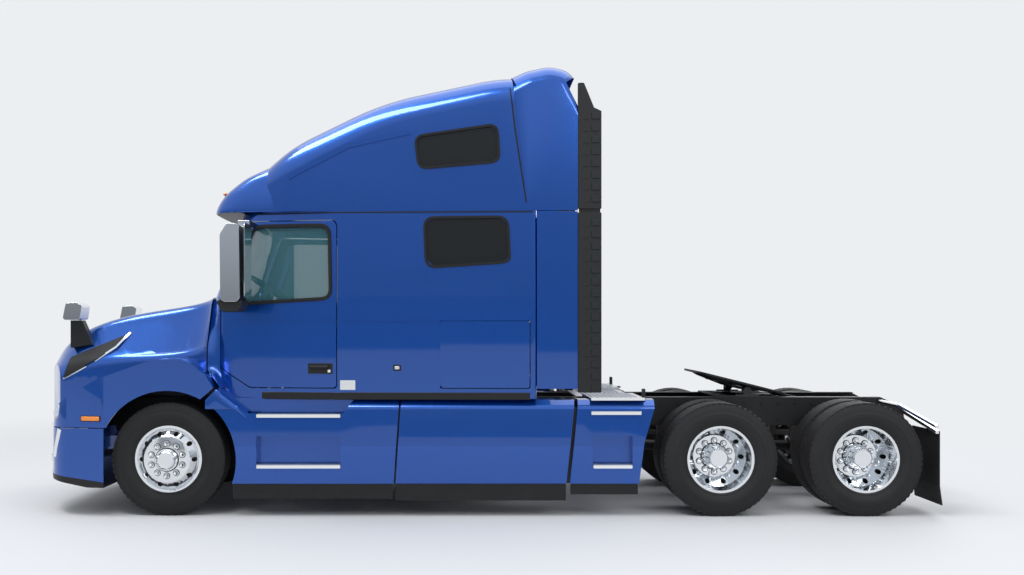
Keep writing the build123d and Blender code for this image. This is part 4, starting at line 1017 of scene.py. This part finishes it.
def sheet(bm, columns, rows, place, thickness, to_front=False):
    """A grid whose corners move to a place for their column and row, then a wall."""
    for vert in bmesh.ops.create_grid(bm, x_segments=columns, y_segments=rows, size=1)["verts"]:
        vert.co = place(round((vert.co.x + 1) / 2 * columns), round((vert.co.y + 1) / 2 * rows))
    bmesh.ops.recalc_face_normals(bm, faces=bm.faces)
    if to_front and sum(face.normal.x for face in bm.faces) > 0:
        bmesh.ops.reverse_faces(bm, faces=bm.faces)
    bmesh.ops.solidify(bm, geom=bm.faces[:], thickness=thickness)


def cap_place(column, row):
    """A corner of the roof's front cap."""
    y, back = cap_plan[column]
    z, x = cap_rows[row]
    return at(x + back, y, z)


bm = bmesh.new()
sheet(bm, len(cap_plan) - 1, len(cap_rows) - 1, cap_place, 0.010, to_front=True)
roof_front = new_piece("roof_front_cap", bm, blue_paint)
smooth = roof_front.modifiers.new("smooth_cap", "SUBSURF")
smooth.levels = 1
smooth.render_levels = 1
print("cap corners", len(cap_plan) * len(cap_rows))

# %% [markdown]
# Under the cap a dark plate closes the bulge, cut along the cap's own plan. Five amber marker lamps stand on the
# cap. A lamp could be turned from a profile, but a flattened ball, half sunk where a ray from the front meets
# the cap, gives the same lens at once.


# %% Underside and roof marker lamps
def ball(bm, centre, radii, around):
    """A ball, or a flattened one."""
    made = bmesh.ops.create_uvsphere(bm, u_segments=around, v_segments=12, radius=1)["verts"]
    bmesh.ops.scale(bm, vec=radii, verts=made)
    bmesh.ops.translate(bm, vec=centre, verts=made)


bm = bmesh.new()
under = [(steer_x + 0.346 + back, y) for y, back in cap_plan if back < 0.28]
under += [(steer_x + 0.62, 0.99), (steer_x + 0.62, -0.99)]
plate(bm, under, 0.010, Matrix.Translation((0, 0, 2.717)))
new_piece("roof_cap_underside", bm, satin_black)

roof_top = surface("roof_front_cap")
for i, y in enumerate((-0.80, -0.24, 0.0, 0.24, 0.80)):
    hit, normal = on_front(roof_top, y, 2.90)
    bm = bmesh.new()
    ball(bm, hit + normal * 0.004, (0.024, 0.055, 0.018), 24)
    new_piece(f"roof_marker_{i + 1}", bm, amber_lens)
print("underside corners", len(under))

# %% [markdown]
# The cowl. Between the hood, which tilts, and the door, which swings, a painted strip stays on the cab and
# closes the space. Its two edges are known: one just inside the hood, one just inside the cab's side. A sheet
# runs between them with a soft turn, which a flat plate would not have.

# %% Cowl strips
strip_rows = [(1.135, 0.447, 0.474), (1.165, 0.430, 0.456), (1.20, 0.400, 0.440), (1.24, 0.352, 0.430),
              (1.300, 0.318, 0.420)]
strip_rows += [(z, 0.316, 0.420) for z in (1.345, 1.42, 1.50, 1.60, 1.70, 1.80, 1.88, 1.925)]
strip_columns = 6


def slab(bm, start, end, y, half_thick, low, high):
    """An upright block between two stations and two heights, about a plane beside the truck's middle."""
    block(bm, at(start, y - half_thick, low), at(end, y + half_thick, high))


def strip_place(column, row, side):
    """A corner of the cowl strip, between the hood's skin and the cab's."""
    z, near_x, far_x = strip_rows[row]
    hood_hit, _ = on_side(hood_side, 0.288, max(z, 1.36), side)
    cab_hit, _ = on_side(cab_side, max(far_x, 0.430), max(z, 1.22), side)
    near_y = abs(hood_hit.y) - 0.004 + max(1.30 - z, 0) * 0.6
    far_y = abs(cab_hit.y) - 0.001
    t = column / strip_columns
    turn = t * t * (3 - 2 * t)
    return at(near_x * (1 - t) + far_x * t, side * (near_y * (1 - turn) + far_y * turn), z)


both_sides("cowl_strip", blue_paint, lambda bm, side: sheet(
    bm, strip_columns, len(strip_rows) - 1, lambda column, row: strip_place(column, row, side), 0.004))
both_sides("cowl_plate", white_plate, lambda bm, side: slab(bm, 0.345, 0.375, side * 0.971, 0.005, 1.345, 1.395),
           bevel=0.002)
print("cowl strips", len(strip_rows), "rows")

# %% [markdown]
# Fairing arms. A painted arm rises from the step fairing to the tail of the hood and rolls over inwards at its
# top. It is a sheet again: for each station the top edge and the inner wall are known, and a quarter turn
# joins them. Two blocks and a bevel could only give a straight arm.

# %% Fairing arms
arm_start, arm_peak, arm_end = 0.340, 0.446, 0.705
arm_columns, arm_rows, roll_rows = 16, 8, 6


def arm_place(column, row, side):
    """A corner of the arm: rows go up the inner wall, round the roll and down the outside."""
    x = arm_start + (arm_end - arm_start) * column / arm_columns
    top = 1.030 + (x - arm_start) * 1.04 if x < arm_peak else 1.140 - (x - arm_peak) * 0.80
    wall_y = 0.986 + 0.45 * max(x - arm_peak, 0) if x < 0.55 else 1.033 + 0.145 * (x - 0.55)
    roll = min(max((x - arm_peak + 0.02) / 0.06, 0), 1)
    inner_y = 1.196 * (1 - roll) + (wall_y - 0.002) * roll
    angle = math.radians(90) * min(row / roll_rows, 1)
    y = inner_y + (1.2005 - inner_y) * math.sin(angle)
    z = top - (0.004 + 0.050 * roll) * (1 - math.cos(angle))
    if row > roll_rows:
        y = 1.2045
        z += (min(0.955, top - 0.060) - z) * (row - roll_rows) / (arm_rows - roll_rows)
    return at(x, side * y, z)


both_sides("fairing_arm", blue_paint, lambda bm, side: sheet(
    bm, arm_columns, arm_rows, lambda column, row: arm_place(column, row, side), 0.004))
print("arm rows", arm_rows)

# %% [markdown]
# Behind the panels. Dark plates and strips are painted shade: they stand wherever two panels leave a gap or the
# far side would show through, and darken it as the shade does under the real truck. Each is a thin upright block:
# they are seen edge on or in shadow, and more shape would not show.

# %% Painted shade under the cab and behind the front wheels, and brackets
cab_gap_shade_line = [(0.82 + 0.12 * k, 1.068) for k in range(24)]
# A black strip along the cab's bottom is painted shade in the gap above the fairing.
both_sides("cab_gap_shade_strip", satin_black,
           lambda bm, side: ribbon(bm, *laid(cab_side, cab_gap_shade_line, side), 0.068, 0.004))
# A dark plate inside the rail behind each front wheel is painted shade where the far side would show through.
both_sides("wheel_shade_plate", satin_black, lambda bm, side: slab(bm, 0.26, 0.64, side * 0.403, 0.003, 0.34, 0.76))
both_sides("deck_bracket", black_plastic, lambda bm, side: slab(bm, 4.225, 4.255, side * 1.12, 0.02, 1.020, 1.130),
           bevel=0.004)
print("painted shade strips and plates, and deck brackets")

# %% Painted shade behind the gaps
gap_shade_bm, wall_bm = bmesh.new(), bmesh.new()
# Dark slabs behind the gaps between the fairings and at the roof's rear are painted shade.
for _, side in sides:
    for start, end in ((1.995, 2.125), (3.545, 3.675)):
        slab(gap_shade_bm, start, end, side * 1.168, 0.004, 0.292, 0.97)
    slab(gap_shade_bm, 3.655, 3.845, side * 1.19, 0.003, 2.66, 2.76)
    slab(wall_bm, 0.56, 1.70, side * 1.075, 0.004, 0.907, 1.046)
new_piece("gap_shade_strips", gap_shade_bm, satin_black)
new_piece("step_back_wall", wall_bm, blue_paint)
print("painted shade behind the gaps")

# %% [markdown]
# Steps and deck. The treads have a bright edge with raised teeth that grip a boot, and the deck plate carries
# the small crossed bars of tread plate. A bump map would be lighter, but the teeth break the outline of the
# step, so both are real blocks, kept to six faces each because there are hundreds of them.

# %% Step teeth
tooth_pitch = 0.018
step_edges = ((0.793, 1.54, 0.905), (0.793, 1.54, 0.455), (3.78, 4.13, 0.455), (3.76, 4.21, 0.930))
for side_name, side in sides:
    bm = bmesh.new()
    for start, end, z in step_edges:
        slab(bm, start + 0.004, end - 0.004, side * 1.212, 0.006, z - 0.026, z + 0.002)
        for i in range(int((end - start) / tooth_pitch)):
            x = start + 0.012 + i * tooth_pitch
            for y in (1.200, 1.176, 1.152, 1.128, 1.104):
                slab(bm, x - 0.005, x + 0.005, side * y, 0.006, z - 0.001, z + 0.006)
    new_piece("step_teeth_" + side_name, bm, chrome)
print("step edges", len(step_edges))

# %% Deck tread pattern
deck_low, deck_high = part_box("deck_plate")
deck_top = surface("deck_plate")
deck_start = steer_x + 3.76
bar_pitch = 0.042
bar_rows = int((deck_high.y - deck_low.y - 0.04) / bar_pitch)
bar_columns = int((deck_high.x - deck_start - 0.03) / bar_pitch)
bm = bmesh.new()
for i in range(bar_columns):
    for j in range(bar_rows):
        above = Vector((deck_start + 0.03 + i * bar_pitch, deck_low.y + 0.03 + j * bar_pitch, 2))
        hit, _ = struck(deck_top, above, Vector((0, 0, -1)))
        if hit is None:
            continue
        made = block(bm, (-0.014, -0.00275, -0.002), (0.014, 0.00275, 0.002))
        turn = Matrix.Rotation(math.radians(45 if (i + j) % 2 else -45), 4, "Z")
        bmesh.ops.transform(bm, matrix=Matrix.Translation(hit + Vector((0, 0, 0.001))) @ turn, verts=made)
new_piece("deck_pattern", bm, polished, sharp=30)
bm = bmesh.new()
for _, side in sides:
    slab(bm, 3.762, 4.238, side * 1.208, 0.004, 1.030, 1.056)
new_piece("deck_edge", bm, chrome, bevel=0.002)
print("deck bars", bar_rows * bar_columns)

# %% [markdown]
# Extender ribs. Each dark extender behind the sleeper is stiffened by a row of short ribs near its rear edge.
# An Array modifier would repeat one rib on a straight line. Here each rib asks the surface where it stands, so
# the row follows the extender even where it bends.

# %% Extender ribs
extender_side = surface("side_extenders")
rib_pitch = 0.105
for side_name, side in sides:
    bm = bmesh.new()
    z = 1.14
    while z < 3.85:
        hit, _ = on_side(extender_side, 3.80, z, side)
        if hit is not None and abs(hit.y) > 1.0:
            slab(bm, 3.765, 3.838, hit.y, 0.008, z - 0.030, z + 0.030)
            slab(bm, 3.69, 3.75, hit.y, 0.004, z - 0.034, z - 0.026)
        z += rib_pitch
    new_piece("extender_ribs_" + side_name, bm, black_plastic, bevel=0.004)
print("ribs at every", rib_pitch)

# %% [markdown]
# The rear of the chassis. Rows of bolt heads run along the rails: six-sided cones, the smallest shape that reads
# as a bolt. Bright bent tubes reach out over the last tyres towards the mud flaps. A bent tube could be a curve
# with a round bevel. Two straight bars and a ball in the bend stay a plain mesh.

# %% Rail bolts
bm = bmesh.new()
for _, side in sides:
    x = 3.4
    while x < 6.55:
        for z in (0.80, 0.95):
            rod(bm, at(x, side * 0.4318, z), at(x, side * 0.4418, z), 0.013, 0.012, 6)
        x += 0.16
new_piece("rail_bolts", bm, satin_black, sharp=30)
print("rail bolts")

# %% Flap tubes
for side_name, side in sides:
    start, bend, end = at(6.60, side * 0.46, 0.97), at(6.66, side * 0.80, 0.955), at(6.83, side * 1.19, 0.800)
    bm = bmesh.new()
    bar(bm, (start, bend, end), 0.019, 20)
    ball(bm, bend, (0.0195, 0.0195, 0.0195), 20)
    ball(bm, end, (0.022, 0.022, 0.022), 20)
    new_piece("flap_tube_" + side_name, bm, chrome)
print("flap tubes")

# %% [markdown]
# The fifth wheel. Ribs stiffen its plate from below, and a release handle reaches out to the driver's side. The
# plate rests tipped back about its pivot, so its details are drawn level round the pivot, where they are easy
# to measure, and turned with it afterwards. Modelled in the tipped place, every number would need a sine.

# %% Fifth wheel ribs and handle
tipped = Matrix.Translation(at(5.350, 0, 1.075)) @ Matrix.Rotation(math.radians(14), 4, "Y")
rib_outline = [(-0.42, 0.046), (-0.36, 0.028), (-0.10, -0.006), (0.05, -0.006), (0.14, 0.020), (0.30, 0.040),
               (0.34, 0.046)]
bm = bmesh.new()
made = []
for _, side in sides:
    for y in (0.10, 0.285):
        made += plate(bm, rib_outline, 0.012, Matrix.Translation((0, side * y, 0)) @ upright)
for x in (-0.26, -0.10, 0.07):
    for start_y, end_y in ((-0.28, -0.10), (0.10, 0.28)):
        made += block(bm, (x - 0.006, start_y, 0.010), (x + 0.006, end_y, 0.046))
bmesh.ops.transform(bm, matrix=tipped, verts=made)
new_piece("plate_ribs", bm, cast_black, "fifth_wheel", bevel=0.003)
bm = bmesh.new()
handle = [(-0.14, -0.30, 0.020), (-0.14, -0.52, 0.012), (-0.10, -0.56, 0.012)]
bar(bm, [tipped @ Vector(point) for point in handle], 0.009, 14)
new_piece("release_handle", bm, satin_black, "fifth_wheel")
print("ribs and handle of the fifth wheel")

# %% [markdown]
# Padded pieces. Seats and mattress are foam in a cloth cover: crowned on top, pulled in at the sides, thinner
# at the corners. A cloth simulation would show this, but it takes long and moves with every change. Here a
# block is divided, its corners are moved by a formula, and a Subdivision Surface modifier smooths it. Sewn
# welts are thin bars laid over it.


# %% Makers of cushions and welts
def cushion(name, low, high, crown=0.0, turn=None):
    """A stuffed cushion between two corners: rounded corners, a crowned top and sides that pull in."""
    bm = bmesh.new()
    block(bm, low, high)
    size = [high[axis] - low[axis] for axis in range(3)]
    bmesh.ops.subdivide_edges(bm, edges=bm.edges, cuts=9, use_grid_fill=True)
    middle = Vector([(low[axis] + high[axis]) / 2 for axis in range(3)])
    thick = min(range(3), key=lambda axis: size[axis])
    long, wide = [axis for axis in range(3) if axis != thick]
    for vert in bm.verts:
        unit = [(vert.co[axis] - middle[axis]) / (size[axis] / 2) for axis in range(3)]
        fade = (1 - abs(unit[long]) ** 4) * (1 - abs(unit[wide]) ** 4)
        vert.co[thick] = middle[thick] + unit[thick] * size[thick] / 2 * (1 - 0.45 * (1 - fade))
        if unit[thick] > 0.9:
            vert.co[thick] += crown * fade
        corner = abs(unit[long]) ** 6 * abs(unit[wide]) ** 6
        for axis, other in ((long, wide), (wide, long)):
            pulled = 1 - 0.0192 * (1 - abs(unit[other]) ** 3)
            vert.co[axis] = middle[axis] + unit[axis] * size[axis] * (pulled / 2 - 0.03 * corner)
    if turn is not None:
        bmesh.ops.transform(bm, matrix=turn, verts=bm.verts)
    obj = new_piece(name, bm, seat_cloth, sharp=180)
    smooth = obj.modifiers.new("stuffing", "SUBSURF")
    smooth.levels = 1
    smooth.render_levels = 1
    return obj


def seam(name, points):
    """A sewn welt along a line of points."""
    bm = bmesh.new()
    bar(bm, points, 0.004, 8)
    new_piece(name, bm, satin_black, sharp=60)


print("makers of cushions and welts")

# %% Seats
for label, side in (("driver", -1), ("passenger", 1)):
    seat_y = side * 0.55
    back = Matrix.Translation(at(1.56, seat_y, 1.62)) @ Matrix.Rotation(math.radians(8), 4, "Y")
    cushion(label + "_seat_base", at(1.085, seat_y - 0.25, 1.575), at(1.60, seat_y + 0.25, 1.70), 0.02)
    cushion(label + "_seat_back", (-0.035, -0.25, 0.0), (0.085, 0.25, 0.60), turn=back)
    cushion(label + "_seat_head", (-0.025, -0.14, 0.62), (0.070, 0.14, 0.79), turn=back)
    for place, hand in (("out", -0.155), ("in", 0.155)):
        seam(f"{label}_base_seam_{place}",
             [at(x, seat_y + hand, z) for x, z in ((1.11, 1.700), (1.34, 1.722), (1.56, 1.706))])
        seam(f"{label}_back_seam_{place}", [back @ Vector((-0.041, hand, z)) for z in (0.05, 0.2, 0.4, 0.56)])
    bm = bmesh.new()
    slab(bm, 1.10, 1.62, seat_y, 0.24, 1.50, 1.580)
    slab(bm, 1.18, 1.54, seat_y, 0.17, 1.10, 1.50)
    new_piece(label + "_seat_frame", bm, black_plastic, bevel=0.012)
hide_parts("seats")
print("seats")

# %% [markdown]
# Bunk and dials. The bunk is a mattress on a plain base, with a welt along its front edge. Five round dials
# face the driver on the dashboard. They could carry scales and needles, but so little of them shows through the
# glass that short cones are enough.

# %% Bunk
bunk_low, bunk_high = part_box("bunk")
bm = bmesh.new()
block(bm, bunk_low + Vector((0.002, 0.002, 0.001)), (bunk_high.x - 0.002, bunk_high.y - 0.002, bunk_low.z + 0.045))
new_piece("bunk_base", bm, trim_grey, bevel=0.006)
mattress = cushion("bunk_mattress", bunk_low + Vector((0.01, 0.01, 0.046)), bunk_high - Vector((0.01, 0.01, 0.004)))
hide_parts("bunk")
welt_z = bunk_high.z - 0.045
seam("mattress_welt", [Vector((bunk_low.x + 0.012, bunk_low.y + 0.06, welt_z)), Vector((bunk_low.x + 0.008, 0, welt_z)),
                       Vector((bunk_low.x + 0.012, bunk_high.y - 0.06, welt_z))])
print("bunk", [round(value, 3) for value in (*bunk_low, *bunk_high)])

# %% Dials
bm = bmesh.new()
for y in (-0.78, -0.665, -0.55, -0.435, -0.32):
    rod(bm, at(0.715, y, 1.865), at(0.735, y, 1.855), 0.040, 0.038, 24)
new_piece("dash_dials", bm, lamp_white)
print("dials")

# %% [markdown]
# The last step.

# %% Finish
for node_name, node in frame["nodes"].items():
    if not node.hide_render:
        finish_mesh(node, satin_black)
        print("plain node", node_name)
